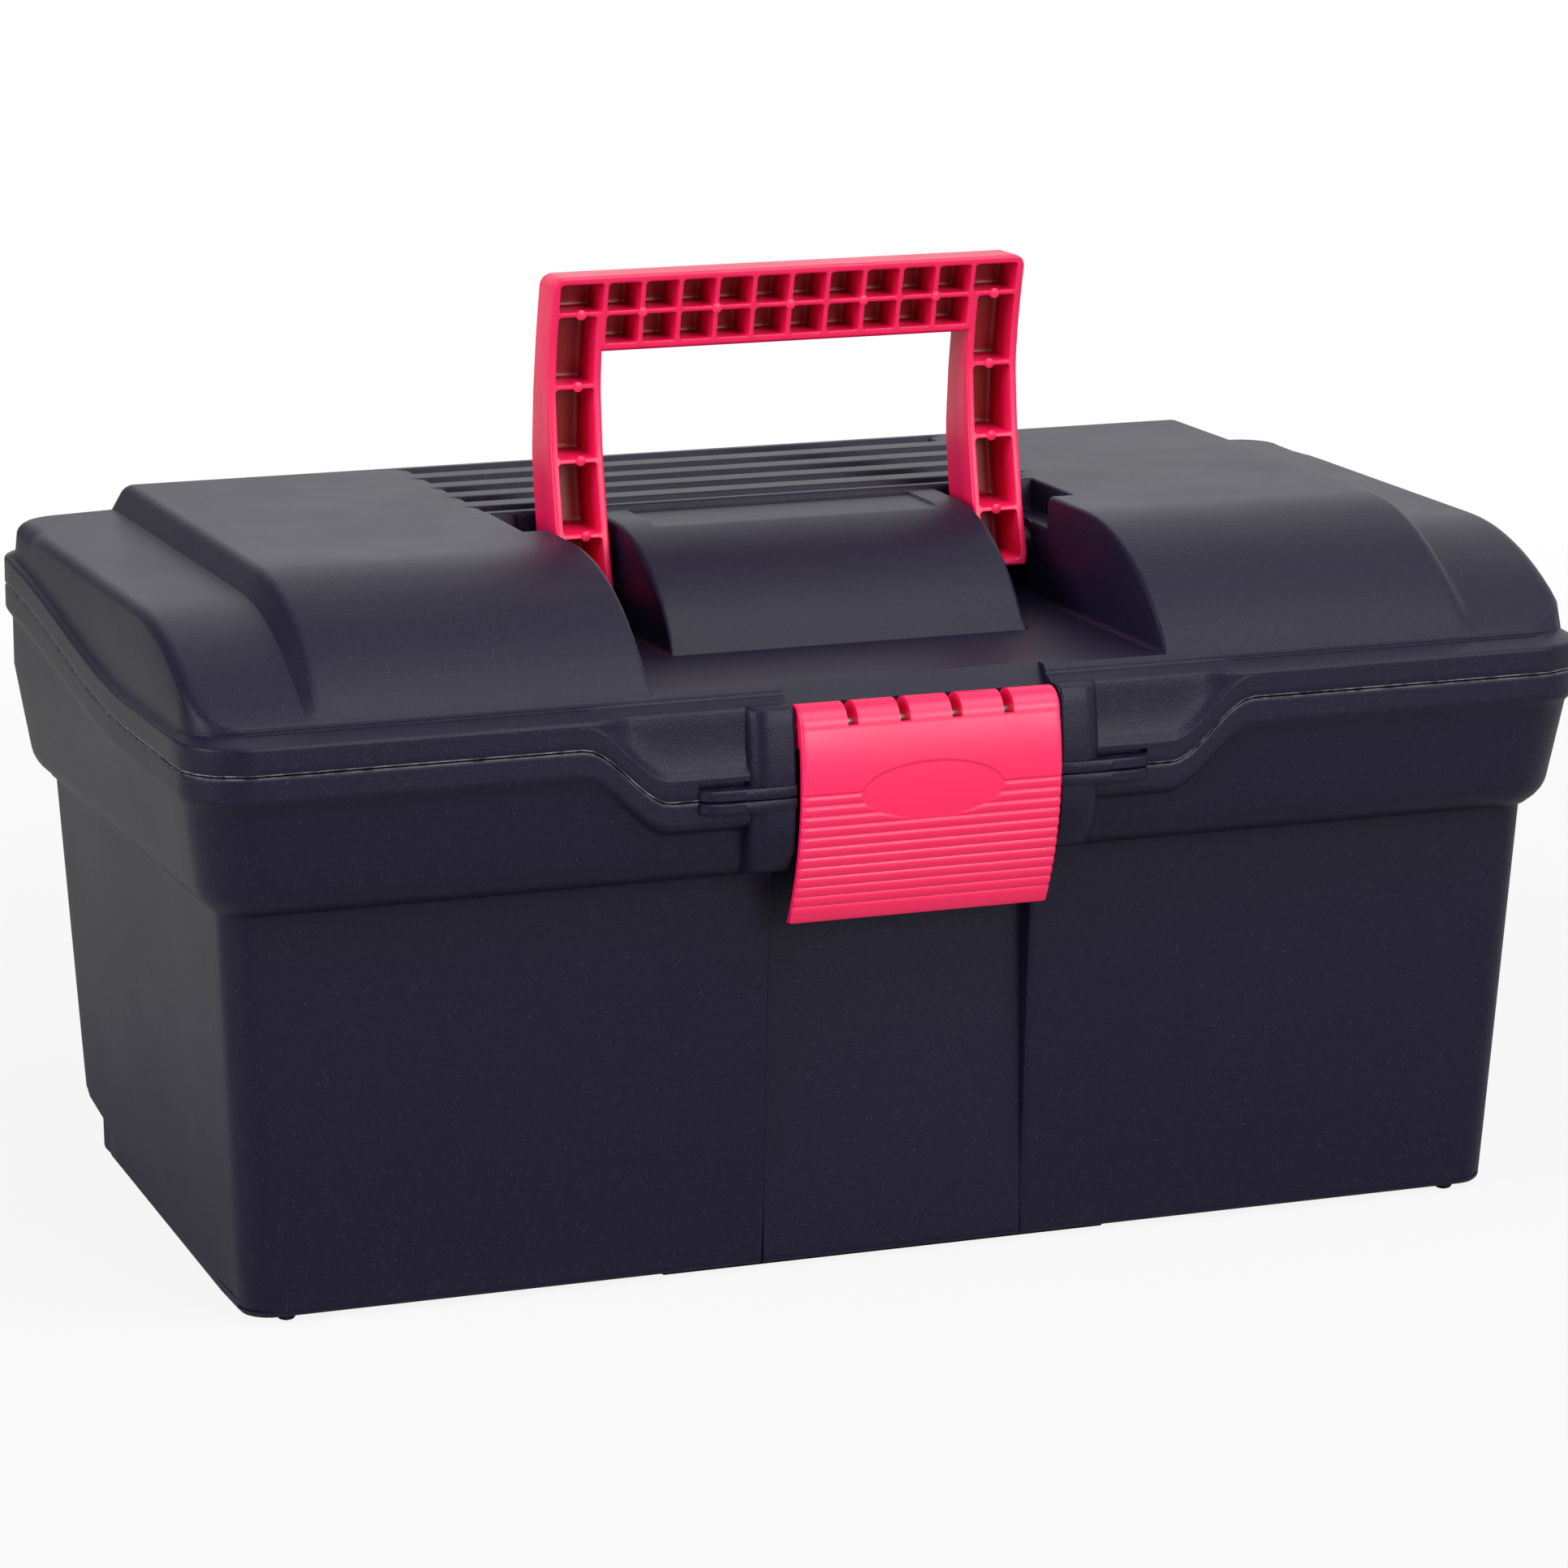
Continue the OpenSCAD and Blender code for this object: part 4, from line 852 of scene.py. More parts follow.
def make_tub(rim, tub, body_y):
    """The tub as one moulding: walls, skirt, band, shelf, posts, tabs, catch, knuckles and feet."""
    cols = tub_columns(rim)
    behind = cols.behind > 0
    rise = tub.skirt_z - tub.foot_h

    def wall_x(z):
        return tub.base_x + tub.draft_x * np.clip((z - tub.foot_h) / rise, 0, 1)

    def wall_y(z):
        return tub.base_y + tub.draft_y * np.clip((z - tub.foot_h) / rise, 0, 1)

    def skirt(half, z):
        return half - rim.band_proud - tub.skirt_lean * np.maximum(0, rim.part_z - rim.band_h - z)

    rim_y = tub_ring(cols, rim.half_l, rim.half_d, rim.corner)[1]
    front = (cols.kind == 0) & (cols.qy < 0)
    line = np.where(front, front_line(cols.x, rim), side_line(rim_y, rim))
    crease = line - rim.band_h
    roof = rim.part_z - rim.dip - rim.wall
    rows = []

    def put(z, half_x, half_y, corner, clamp=None):
        x, y = tub_ring(cols, half_x, half_y, corner)
        if clamp is not None:
            x = np.sign(x) * np.minimum(np.abs(x), clamp)
        pocket_y = np.where(z < roof - 0.02, -tub.base_y, -body_y)
        y = np.where(behind & (z >= tub.foot_h + tub.base_round - 0.01), pocket_y, y)
        rows.append((x, y, z))

    heel_share = np.clip((rim_y - tub.heel_front) / (tub.base_y - tub.heel_front), 0, 1) * ~front
    heel_low = tub.base_round + tub.heel_lip * (cols.kind == 1)
    heel_curve, soft = 1.7, 0.6
    heel_z = tub.foot_h + heel_low + (tub.heel_h - heel_low) * heel_share**heel_curve
    plinth = np.where(front, rim.half_l, tub.base_x - tub.heel_in * heel_share)
    for inset, up in flat_and_round(tub.base_round):
        z = tub.foot_h + up
        put(z, wall_x(z) - inset, wall_y(z) - inset, tub.corner - inset, plinth - inset)
    put(heel_z, wall_x(heel_z), wall_y(heel_z), tub.corner, plinth)
    put(heel_z, wall_x(heel_z) - soft, wall_y(heel_z), tub.corner)
    put(heel_z + soft, wall_x(heel_z), wall_y(heel_z), tub.corner)
    for part in (0.12, 0.3, 0.5, 0.7, 0.88, 0.97, 1.0):
        z = heel_z + soft + (tub.skirt_z - 0.8 - heel_z - soft) * part
        put(z, wall_x(z), wall_y(z), tub.corner)
    put(tub.skirt_z - 0.2, wall_x(tub.skirt_z) + 0.2, wall_y(tub.skirt_z) + 0.2, tub.corner)
    for a in arc_angles(0, 90, 7):
        z = tub.skirt_z + tub.skirt_round * (1 - np.cos(a))
        inset = tub.skirt_round * (1 - np.sin(a))
        put(z, np.maximum(wall_x(tub.skirt_z) + 0.8 + np.sin(a), skirt(rim.half_l, z) - inset),
            np.maximum(wall_y(tub.skirt_z) + 0.8 + np.sin(a), skirt(rim.half_d, z) - inset),
            tub.corner + (rim.corner - tub.corner) * np.sin(a))
    round_top = tub.skirt_z + tub.skirt_round
    for part in (0.3, 0.65, 0.92, 1.0):
        z = round_top + (crease - tub.band_soft / 2 - round_top) * part
        put(z, skirt(rim.half_l, z), skirt(rim.half_d, z), rim.corner)
    for part in (0.1, 0.25, 0.4, 0.55, 0.7, 0.85, 1.0):
        z = crease + tub.band_soft * (part - 0.5)
        proud_x, proud_y = rim.half_l - skirt(rim.half_l, z), rim.half_d - skirt(rim.half_d, z)
        put(z, rim.half_l - proud_x * (1 - ease(part)), rim.half_d - proud_y * (1 - ease(part)), rim.corner)
    for down in (5.2, 4.0, rim.wall + 0.05, rim.wall, 1.2, 0.5):
        put(line - down, rim.half_l, rim.half_d, rim.corner)
    put(line - 0.15, rim.half_l - 0.15, rim.half_d - 0.15, rim.corner)
    put(line, rim.half_l - 0.5, rim.half_d - 0.5, rim.corner)
    scuffed = len(rows)
    put(line, rim.half_l - 0.8, rim.half_d - 0.8, rim.corner)

    def put_inside(z, half_x, half_y, corner):
        x, y = tub_ring(cols, half_x, half_y, corner)
        beside = front & (np.abs(cols.x) <= rim.pocket_x + 2.01)
        x = np.where(beside, x * (rim.pocket_x + rim.wall) / rim.pocket_x, x)
        y = np.where(behind, rim.wall - tub.base_y, y - cols.lag)
        rows.append((x, y, z))

    thick = rim.band_proud + rim.wall
    in_corner = rim.corner - rim.wall
    shelf_z = tub.skirt_z + tub.shelf_h
    lean = math.acos(1 - tub.shelf_h / tub.skirt_round)
    shelf_in = tub.skirt_round * (1 - math.sin(lean)) + rim.wall
    put_inside(line, rim.half_l - thick, rim.half_d - thick, in_corner)
    put_inside(line - 4, rim.half_l - thick, rim.half_d - thick, in_corner)
    for z in (round_top + 4, round_top):
        put_inside(z, skirt(rim.half_l, z) - rim.wall, skirt(rim.half_d, z) - rim.wall, in_corner)
    put_inside(shelf_z, skirt(rim.half_l, shelf_z) - shelf_in, skirt(rim.half_d, shelf_z) - shelf_in, in_corner)
    lip_x, lip_y = wall_x(tub.skirt_z) - rim.wall, wall_y(tub.skirt_z) - rim.wall
    put_inside(shelf_z, lip_x + 0.8, lip_y + 0.8, tub.corner - rim.wall)
    put_inside(shelf_z - 0.8, lip_x, lip_y, tub.corner - rim.wall)
    floor_z, floor_r = tub.foot_h + rim.wall, 3.0
    for z in (80, 45, 22):
        put_inside(z, wall_x(z) - rim.wall - (tub.heel_in if z < 30 else 0), wall_y(z) - rim.wall,
                   tub.corner - rim.wall)
    for inset, up in flat_and_round(floor_r)[::-1]:
        inset = inset + rim.wall
        put_inside(floor_z + up, wall_x(floor_z) - tub.heel_in - inset, wall_y(floor_z) - inset, tub.corner - inset)
    shell = Shell()
    points = stack(*rows)
    mark = np.zeros(points.shape[:2])
    mark[scuffed - 2 : scuffed] = 0.25 * (1.0 - behind)
    shell.tube(points, mark)
    dip_z = rim.part_z - rim.dip
    for side in (-1, 1):
        inner_x, outer_x = side * rim.pocket_x, side * (rim.pocket_x + rim.post_w)
        foot, low = -rim.half_d - rim.post_out, dip_z - tub.post_down
        levels = [dip_z, dip_z - 0.4, dip_z - 8, dip_z - 15, low + 4, low + 1.6, low + 0.4, low]
        fronts = foot + np.array([0.8, 0.7, 1.1, 2.4, 4.4, 5.6, 7.2, 9.0])
        bar(shell, inner_x, outer_x, levels, fronts, 17.0 - rim.half_d, rim.post_r, rim.post_round)
        padlock_tab(shell, side, dip_z - rim.tab_t, dip_z, rim)
        hinge_z = rim.part_z + rim.part_rise
        for start in (-rim.knuckle_l / 2 - 0.5 - rim.ear_l, rim.knuckle_l / 2 + 0.5):
            x0 = side * rim.hinge_x + start
            knuckle(shell, x0, x0 + rim.ear_l, rim)
            slab(shell, (x0, rim.half_d - 1.6, hinge_z - rim.knuckle_r + 0.3),
                 (x0 + rim.ear_l, rim.hinge_y - 1.5, hinge_z - 0.6), 0.5)
        for end in (-1, 1):
            pip = [(0, 1.4), (0.3, 2.1), (0.9, tub.pip_r), (tub.foot_h + 0.3, tub.pip_r)]
            shell.lathe(pip, (side * tub.pip_x, end * tub.pip_y, 0), 2, 24)
    slab(shell, (-tub.pad_l / 2, -tub.pad_d / 2, 0), (tub.pad_l / 2, tub.pad_d / 2, tub.foot_h + 0.6), 0.6)
    slab(shell, (-tub.catch_x, tub.catch_y, tub.catch_z),
         (tub.catch_x, rim.wall - tub.base_y, tub.catch_z + tub.catch_h), 0.6)
    return shell.build("tub_moulding")


# The handle

def handle_pockets(handle):
    """Front view of the open pockets, each as its low and high corner."""
    edge = handle.wall - handle.rib / 2
    leg_in = handle.half_w - handle.leg_w
    low = handle.top_z - handle.grip_h + edge
    row = (handle.grip_h - 2 * edge) / handle.pocket_rows
    col = 2 * leg_in / handle.pocket_n
    cells = [(i * col - leg_in, low + j * row, (i + 1) * col - leg_in, low + (j + 1) * row)
             for i in range(handle.pocket_n) for j in range(handle.pocket_rows)]
    upper = handle.top_z - edge - row
    leg_low = handle.pivot_z - handle.leg_end + edge
    right = [(leg_in, upper, handle.half_w - edge, handle.top_z - edge)]
    right += [(leg_in + edge, max(upper - (k + 1) * handle.leg_pitch, leg_low), handle.half_w - edge,
               upper - k * handle.leg_pitch) for k in range(handle.leg_n)]
    cells += right + [(-x1, z0, -x0, z1) for x0, z0, x1, z1 in right]
    half = handle.rib / 2
    return [(x0 + half, z0 + half, x1 - half, z1 - half) for x0, z0, x1, z1 in cells]


def handle_depth(x, z, handle, cells):
    """Depth of the handle's front below its rib faces."""
    deep = handle.thick - handle.wall
    depth = np.zeros_like(x)
    for x0, z0, x1, z1 in cells:
        inside = -round_rect_distance(x - (x0 + x1) / 2, z - (z0 + z1) / 2, (x1 - x0) / 2, (z1 - z0) / 2,
                                      handle.pocket_r)
        depth = np.minimum(depth, carve(0.0, -deep, inside - 0.25, 0.35, 1.2))
    return -depth


def handle_lines(low, high, edges):
    """Grid lines between two ends, dense at the pockets' walls."""
    offsets = np.array([-0.45, -0.2, 0.0, 0.25, 0.5, 0.62, 0.9, 1.5, 2.1])
    lines = [[low, high]] + [at + side * offsets for at, side in edges]
    return np.unique(np.round(np.clip(np.concatenate(lines), low, high), 3))


def make_handle(handle):
    """The handle as one moulding: a bowed U with open pockets and pivot stubs."""
    shell = Shell()
    cells = handle_pockets(handle)
    leg_in = handle.half_w - handle.leg_w
    edge = handle.edge
    grip_low = handle.top_z - handle.grip_h
    reach = handle.top_z - handle.pivot_z
    xs = handle_lines(-handle.half_w + edge, handle.half_w - edge,
                      [(c[0], 1) for c in cells] + [(c[2], -1) for c in cells])
    low = handle.pivot_z - handle.leg_end
    zs = handle_lines(low + edge, handle.top_z - edge, [(c[1], 1) for c in cells] + [(c[3], -1) for c in cells])
    inner_l, inner_r, inner_z = -leg_in - edge, leg_in + edge, grip_low + edge
    xs = np.unique(np.concatenate([xs, [inner_l, inner_r]]))
    zs = np.unique(np.concatenate([zs, [inner_z]]))
    x, z = np.meshgrid(xs, zs)
    depth = handle_depth(x, z, handle, cells)
    left, right = int(np.searchsorted(xs, inner_l)), int(np.searchsorted(xs, inner_r))
    over = int(np.searchsorted(zs, inner_z))
    keep = np.ones((len(zs) - 1, len(xs) - 1), bool)
    keep[:over, left:right] = False

    def shaped(px, pz, py):
        """Rounds the outer corners, slants the legs' ends and bows the legs."""
        middle = leg_in + handle.leg_w / 2
        drawn = np.clip((low + 3 * handle.leg_slant - pz) / (3 * handle.leg_slant), 0, 1)
        drawn = drawn * np.clip((np.abs(px) - middle) / (handle.leg_w / 2), 0, 1)
        px = px - np.sign(px) * handle.leg_slant * drawn
        ax = (np.abs(px) - handle.half_w + handle.corner) / handle.corner
        az = (pz - handle.top_z + handle.corner) / handle.corner
        ax, az = np.maximum(ax, 0), np.maximum(az, 0)
        both = (ax > 0) & (az > 0)
        bx = np.where(both, ax * np.sqrt(np.maximum(1 - az**2 / 2, 0)), ax)
        bz = np.where(both, az * np.sqrt(np.maximum(1 - ax**2 / 2, 0)), az)
        sx = np.where(ax > 0, np.sign(px) * (handle.half_w - handle.corner + handle.corner * bx), px)
        sz = np.where(az > 0, handle.top_z - handle.corner + handle.corner * bz, pz)
        lean = handle.pivot_y - handle.set_y + handle.bow * np.sin(np.pi * (sz - handle.pivot_z) / reach)
        swell = 1 + handle.leg_more * ease((grip_low - sz) / 40)
        return np.stack(np.broadcast_arrays(sx, lean + py * swell, sz), -1)

    front, back = -handle.thick / 2, handle.thick / 2
    # The front's mark is each point's depth in its pocket, which the material turns into painted shade
    shell.grid(shaped(x, z, front + depth), depth / (handle.thick - handle.wall), keep=keep)
    shell.grid(shaped(x, z, back), keep=keep)
    n, m = len(xs), len(zs)
    loop = [(0, i) for i in range(left + 1)] + [(j, left) for j in range(1, over + 1)]
    loop += [(over, i) for i in range(left + 1, right + 1)] + [(j, right) for j in range(over - 1, -1, -1)]
    loop += [(0, i) for i in range(right + 1, n)] + [(j, n - 1) for j in range(1, m)]
    loop += [(m - 1, i) for i in range(n - 2, -1, -1)] + [(j, 0) for j in range(m - 2, 0, -1)]
    rows, cols = np.array(loop).T
    lx, lz = x[rows, cols], z[rows, cols]
    nx = np.where(cols == 0, -1.0, np.where(cols == n - 1, 1.0, 0.0))
    nx += np.where((cols == left) & (rows <= over), 1.0, 0.0) + np.where((cols == right) & (rows <= over), -1.0, 0.0)
    nz = np.where(rows == m - 1, 1.0, np.where(rows == 0, -1.0, 0.0))
    nz += np.where((rows == over) & (cols >= left) & (cols <= right), -1.0, 0.0)
    turn = [(edge * np.sin(a), edge * (1 - np.cos(a))) for a in arc_angles(0, 90, 5)]
    rings = [(out, front + sink) for out, sink in turn]
    rings += [(edge + MOULD_LINE, -0.15), (edge - 0.02, 0.05)]
    rings += [(out, back - sink) for out, sink in turn[::-1]]
    shell.grid(np.stack([shaped(lx + nx * out, lz + nz * out, y) for out, y in rings]), wrap=True)
    for side in (-1, 1):
        stub = [(side * (handle.half_w - handle.wall + 0.2), handle.stub_r),
                (side * (handle.stub_x - 0.5), handle.stub_r), (side * handle.stub_x, handle.stub_r - 0.5)]
        shell.lathe(stub, (0, handle.pivot_y, handle.pivot_z), 0, 40)
    edge_in = handle.wall - handle.rib / 2
    row_h = (handle.grip_h - 2 * edge_in) / handle.pocket_rows
    rail_z = grip_low + edge_in + row_h
    marks = [(-leg_in + 2 * leg_in / handle.pocket_n * k, rail_z) for k in range(1, handle.pocket_n, 2)]
    for side in (-1, 1):
        mid = side * (leg_in + (handle.leg_w - edge_in) / 2)
        marks += [(mid, rail_z - k * handle.leg_pitch) for k in range(handle.leg_n)]
    disc = [(0.6, handle.mark_r), (-0.25, handle.mark_r), (-0.35, handle.mark_r - 0.2)]
    for mark_x, mark_z in marks:
        shell.lathe(disc, shaped(mark_x, mark_z, front), 1, 24)
    return shell.build("handle_moulding")


# The latch

def latch_face(down, latch):
    """Place of the latch's front face at a drop below its axis."""
    upper = latch.axis_y - latch.top_r - latch.belly_y
    lower = latch.tail_y - latch.belly_y
    above = upper * (1 - np.minimum(down, latch.belly_down) / latch.belly_down) ** 2
    below = lower * np.maximum((down - latch.belly_down) / (latch.drop - latch.belly_down), 0) ** 2
    return latch.belly_y + above + below


def make_latch(latch):
    """The latch as one moulding: a rounded top with notches, a belly, grip ribs, a blank oval and a hook."""
    shell = Shell()
    rib_top = latch.drop - latch.rib_n * latch.rib_pitch - latch.last_rib
    # Places of a rib's rows as shares of the spacing, and how far each row lies behind the rib's crest
    shares, crest = np.array([0.0, 0.06, 0.14, 0.25, 0.4, 0.55, 0.7, 0.83, 0.93]), 0.4
    bites = np.where(shares < crest, (shares / crest - 1) ** 2, ((shares - crest) / (1 - crest)) ** 2)
    plain = np.append(np.linspace(0, rib_top - 0.6, 60), rib_top - 0.3)
    last_foot = np.array([0.25, 0.6, 1.0]) * latch.last_rib + (latch.rib_n - 0.6) * latch.rib_pitch + rib_top
    downs = np.concatenate([plain] + [rib_top + (i + shares) * latch.rib_pitch for i in range(latch.rib_n - 1)]
                           + [rib_top + (latch.rib_n - 1 + shares[:5]) * latch.rib_pitch, last_foot,
                              [latch.drop - 0.3, latch.drop - 0.02]])
    bite = np.concatenate([np.zeros(len(plain) - 1), [0.3]] + [bites] * (latch.rib_n - 1)
                          + [bites[:5], [0.0, 0.02, 0.06, 0.25, 0.6]]) * latch.rib_depth
    over = np.radians(np.linspace(0, 180, 25))[:-1]
    top = np.stack([latch.axis_y + latch.top_r * np.cos(over), latch.axis_z + latch.top_r * np.sin(over)], -1)
    face = np.stack([latch_face(downs, latch), latch.axis_z - downs], -1)
    rise = np.linspace(latch.drop, 5.0, 24)
    back = np.stack([latch_face(rise, latch) + latch.thick, latch.axis_z - rise], -1)
    under = np.radians(np.linspace(232, 360, 14))[:-1]
    barrel = np.stack([latch.axis_y + latch.top_r * np.cos(under), latch.axis_z + latch.top_r * np.sin(under)], -1)
    profile = np.concatenate([top, face, back, barrel])
    bite = np.concatenate([np.zeros(len(top)), bite, np.zeros(len(back) + len(barrel))])
    on_face = np.zeros(len(profile), bool)
    on_face[len(top) : len(top) + len(face)] = True
    step = np.roll(profile, -1, 0) - np.roll(profile, 1, 0)
    step /= np.linalg.norm(step, axis=1)[:, None]
    outward = np.stack([-step[:, 1], step[:, 0]], -1)
    if outward[len(top) + 5, 0] > 0:
        outward = -outward
    slots = [(i - (latch.slot_n - 1) / 2) * latch.slot_pitch for i in range(latch.slot_n)]
    half = latch.half_w
    xs = [np.linspace(-half + 2, half - 2, 40), np.linspace(-latch.oval_x - 1, latch.oval_x + 1, 141)]
    for at in slots:
        for side in (-1, 1):
            xs.append(at + side * (latch.slot_w / 2 + np.array([-0.02, 0.02, 0.3])))
    turns = arc_angles(0, 90, 4)
    xs.append(half - latch.edge * (1 - np.sin(turns)))
    xs.append(-half + latch.edge * (1 - np.sin(turns)))
    xs = np.unique(np.round(np.concatenate(xs), 4))
    lag = latch.edge - np.sqrt(np.maximum(latch.edge**2 - np.maximum(np.abs(xs) - half + latch.edge, 0) ** 2, 0))
    in_slot = np.any([np.abs(xs - at) < latch.slot_w / 2 for at in slots], axis=0)
    down = latch.axis_z - profile[:, 1]
    columns = []
    for x, back_off, slotted in zip(xs, lag, in_slot):
        ax, az = x / latch.oval_x, (down - latch.oval_down) / latch.oval_z
        ring = np.sqrt(ax**2 + az**2)
        slope = np.hypot(ax / latch.oval_x, az / latch.oval_z) / np.maximum(ring, 1e-6)
        inside = ease(0.5 + (1 - ring) / np.maximum(slope, 1e-6) / latch.oval_edge) * on_face
        cut = bite + (latch.oval_sink - bite) * inside + back_off
        y = profile[:, 0] - outward[:, 0] * cut
        z = profile[:, 1] - outward[:, 1] * cut
        if slotted:
            hollow = np.abs(y - latch.axis_y + 0.4) < latch.top_r - 2.0
            well = np.where(hollow & (z > latch.axis_z), latch.well_z, latch.axis_z + latch.top_r - latch.slot_h)
            z = np.minimum(z, well)
        columns.append((x, y, z))
    shell.tube(stack(*columns))
    slab(shell, (-latch.hook_x, latch.tail_y - 5.0, latch.hook_z - latch.hook_h),
         (latch.hook_x, latch.hook_y, latch.hook_z), 0.5)
    return shell.build("latch_moulding", sharp=50)


# The tray

def make_tray(tray):
    """The tray as one moulding: six compartments under an end flange."""
    shell = Shell()
    floor = tray.low_z + tray.wall
    half_wall = tray.wall / 2
    edge, foot, soft, soft_y = 0.7, 3.0, 1.0, 0.9
    stops_x = [(-tray.half_x + tray.wall, -tray.cross_x - half_wall),
               (-tray.cross_x + half_wall, tray.cross_x - half_wall),
               (tray.cross_x + half_wall, tray.half_x - tray.wall)]
    stops_y = [(-tray.half_y + tray.wall, -tray.grip_t / 2), (tray.grip_t / 2, tray.half_y - tray.wall)]
    xs = [np.array([-tray.rim_x + soft, tray.rim_x - soft, -tray.hand_x - 0.4, -tray.hand_x + 0.4,
                    tray.hand_x - 0.4, tray.hand_x + 0.4]), np.linspace(-178, 178, 25)]
    ys = [np.array([-tray.half_y + soft_y, tray.half_y - soft_y, 0.0]), np.linspace(-76, 76, 13)]
    for low, high in stops_x:
        xs += [near(low, foot, edge, -1), near(high, foot, edge, 1)]
    for low, high in stops_y:
        ys += [near(low, foot, edge, -1), near(high, foot, edge, 1)]
    xs, ys = (np.unique(np.round(np.concatenate(v), 3)) for v in (xs, ys))
    xs = xs[np.abs(xs) <= tray.rim_x - soft + 1e-6]
    ys = ys[np.abs(ys) <= tray.half_y - soft_y + 1e-6]
    x, y = np.meshgrid(xs, ys)
    dip = carve(tray.top_z, tray.hand_z, tray.hand_x - np.abs(x), 1.0, 3.0, 0.8)
    z = np.where(np.abs(y) < tray.grip_t / 2 + 2, dip, tray.top_z)
    for x0, x1 in stops_x:
        for y0, y1 in stops_y:
            inside = -round_rect_distance(x - (x0 + x1) / 2, y - (y0 + y1) / 2, (x1 - x0) / 2, (y1 - y0) / 2, 2.0)
            z = np.minimum(z, carve(z, floor, inside, edge, foot))
    shell.grid(np.stack([x, y, z], -1))
    row, col = edge_loop(*x.shape)
    ex, ey = x[row, col], y[row, col]
    nx = np.where(col == 0, -1.0, np.where(col == x.shape[1] - 1, 1.0, 0.0))
    ny = np.where(row == 0, -1.0, np.where(row == x.shape[0] - 1, 1.0, 0.0))
    under = np.sign(ex) * np.minimum(np.abs(ex), tray.half_x)
    rows = [(ex, ey, tray.top_z)]
    for a in arc_angles(30, 90, 2):
        rows.append((ex + nx * soft * np.sin(a), ey + ny * soft_y * np.sin(a), tray.top_z - soft_y * (1 - np.cos(a))))
    rim_y = ey + ny * soft_y
    rows.append((ex + nx * soft, rim_y, tray.top_z - tray.wall))
    rows.append((under, rim_y, tray.top_z - tray.wall - 0.02))
    rows.append((under, rim_y, tray.low_z + foot))
    for a in arc_angles(60, 0, 2):
        inset = foot * (1 - np.sin(a))
        rows.append((under * (1 - inset / tray.half_x), rim_y * (1 - inset / tray.half_y),
                     tray.low_z + foot * (1 - np.cos(a))))
    points = stack(*rows)
    shell.grid(points, wrap=True)
    shell.cap(points[-1])
    return shell.build("tray_moulding")


def make_tray_grip(tray):
    """The arch that the tray is lifted by, with rounded edges and two pegs."""
    shell = Shell()
    turns = np.concatenate([arc_angles(90 * k, 90 * k + 90, 5) for k in range(2)])
    signs = np.repeat([1.0, -1.0], 6)
    hand_top = tray.grip_z - tray.bar_h

    def arch(half, top, corner, drop):
        x = np.concatenate([[half], signs * (half - corner) + corner * np.cos(turns), [-half]])
        z = np.concatenate([[drop], top - corner + corner * np.sin(turns), [drop]])
        return x, z

    half_t, soft = tray.grip_t / 2, 1.0
    outer, inner = (tray.grip_x, tray.grip_z, 9.0), (tray.hand_x, hand_top, 6.0)
    rows = []
    for (half, top, corner), out in ((outer, -1.0), (inner, 1.0)):
        order = arc_angles(0, 180, 6) if out < 0 else arc_angles(180, 0, 6)
        for a in order:
            inset = soft * (1 - np.sin(a))
            x, z = arch(half + out * inset, top + out * inset, corner + out * inset, tray.top_z)
            y = -np.sign(np.cos(a)) * (half_t - soft * (1 - abs(np.cos(a))))
            rows.append((x, y, z))
    rows.append(rows[0])
    points = stack(*rows)
    shell.grid(points)
    shell.cap(points[:-1, 0])
    shell.cap(points[:-1, -1])
    for side in (-1, 1):
        peg_x = side * (tray.grip_x + tray.hand_x) / 2
        shell.lathe([(-8, 1.0), (-7.6, 1.4), (0.5, 1.4)], (peg_x, 0, tray.top_z), 2, 20)
    return shell.build("tray_grip_moulding")


# Materials

def node(tree, kind, settings=None, links=None):
    """Adds a shader node, sets its properties and sockets, and links its inputs to other nodes' outputs; a node
    that is given in place of an output stands for its first one."""
    made = tree.nodes.new("ShaderNode" + kind)
    for key, value in (settings or {}).items():
        if isinstance(key, int) or key in made.inputs:
            made.inputs[key].default_value = value
        else:
            setattr(made, key, value)
    for key, source in (links or {}).items():
        tree.links.new(source.outputs[0] if isinstance(source, bpy.types.Node) else source, made.inputs[key])
    return made


def new_material(name):
    """An empty node material with its output, and the output's tree."""
    made = bpy.data.materials.new(name)
    made.use_nodes = True
    made.node_tree.nodes.clear()
    return made, made.node_tree


def rgba(value):
    """A colour property as four numbers."""
    return (*value[:3], 1.0)


def scale_of(width):
    """Texture scale of a pattern whose features are this many millimetres wide."""
    return 1.0 / (width * MM)


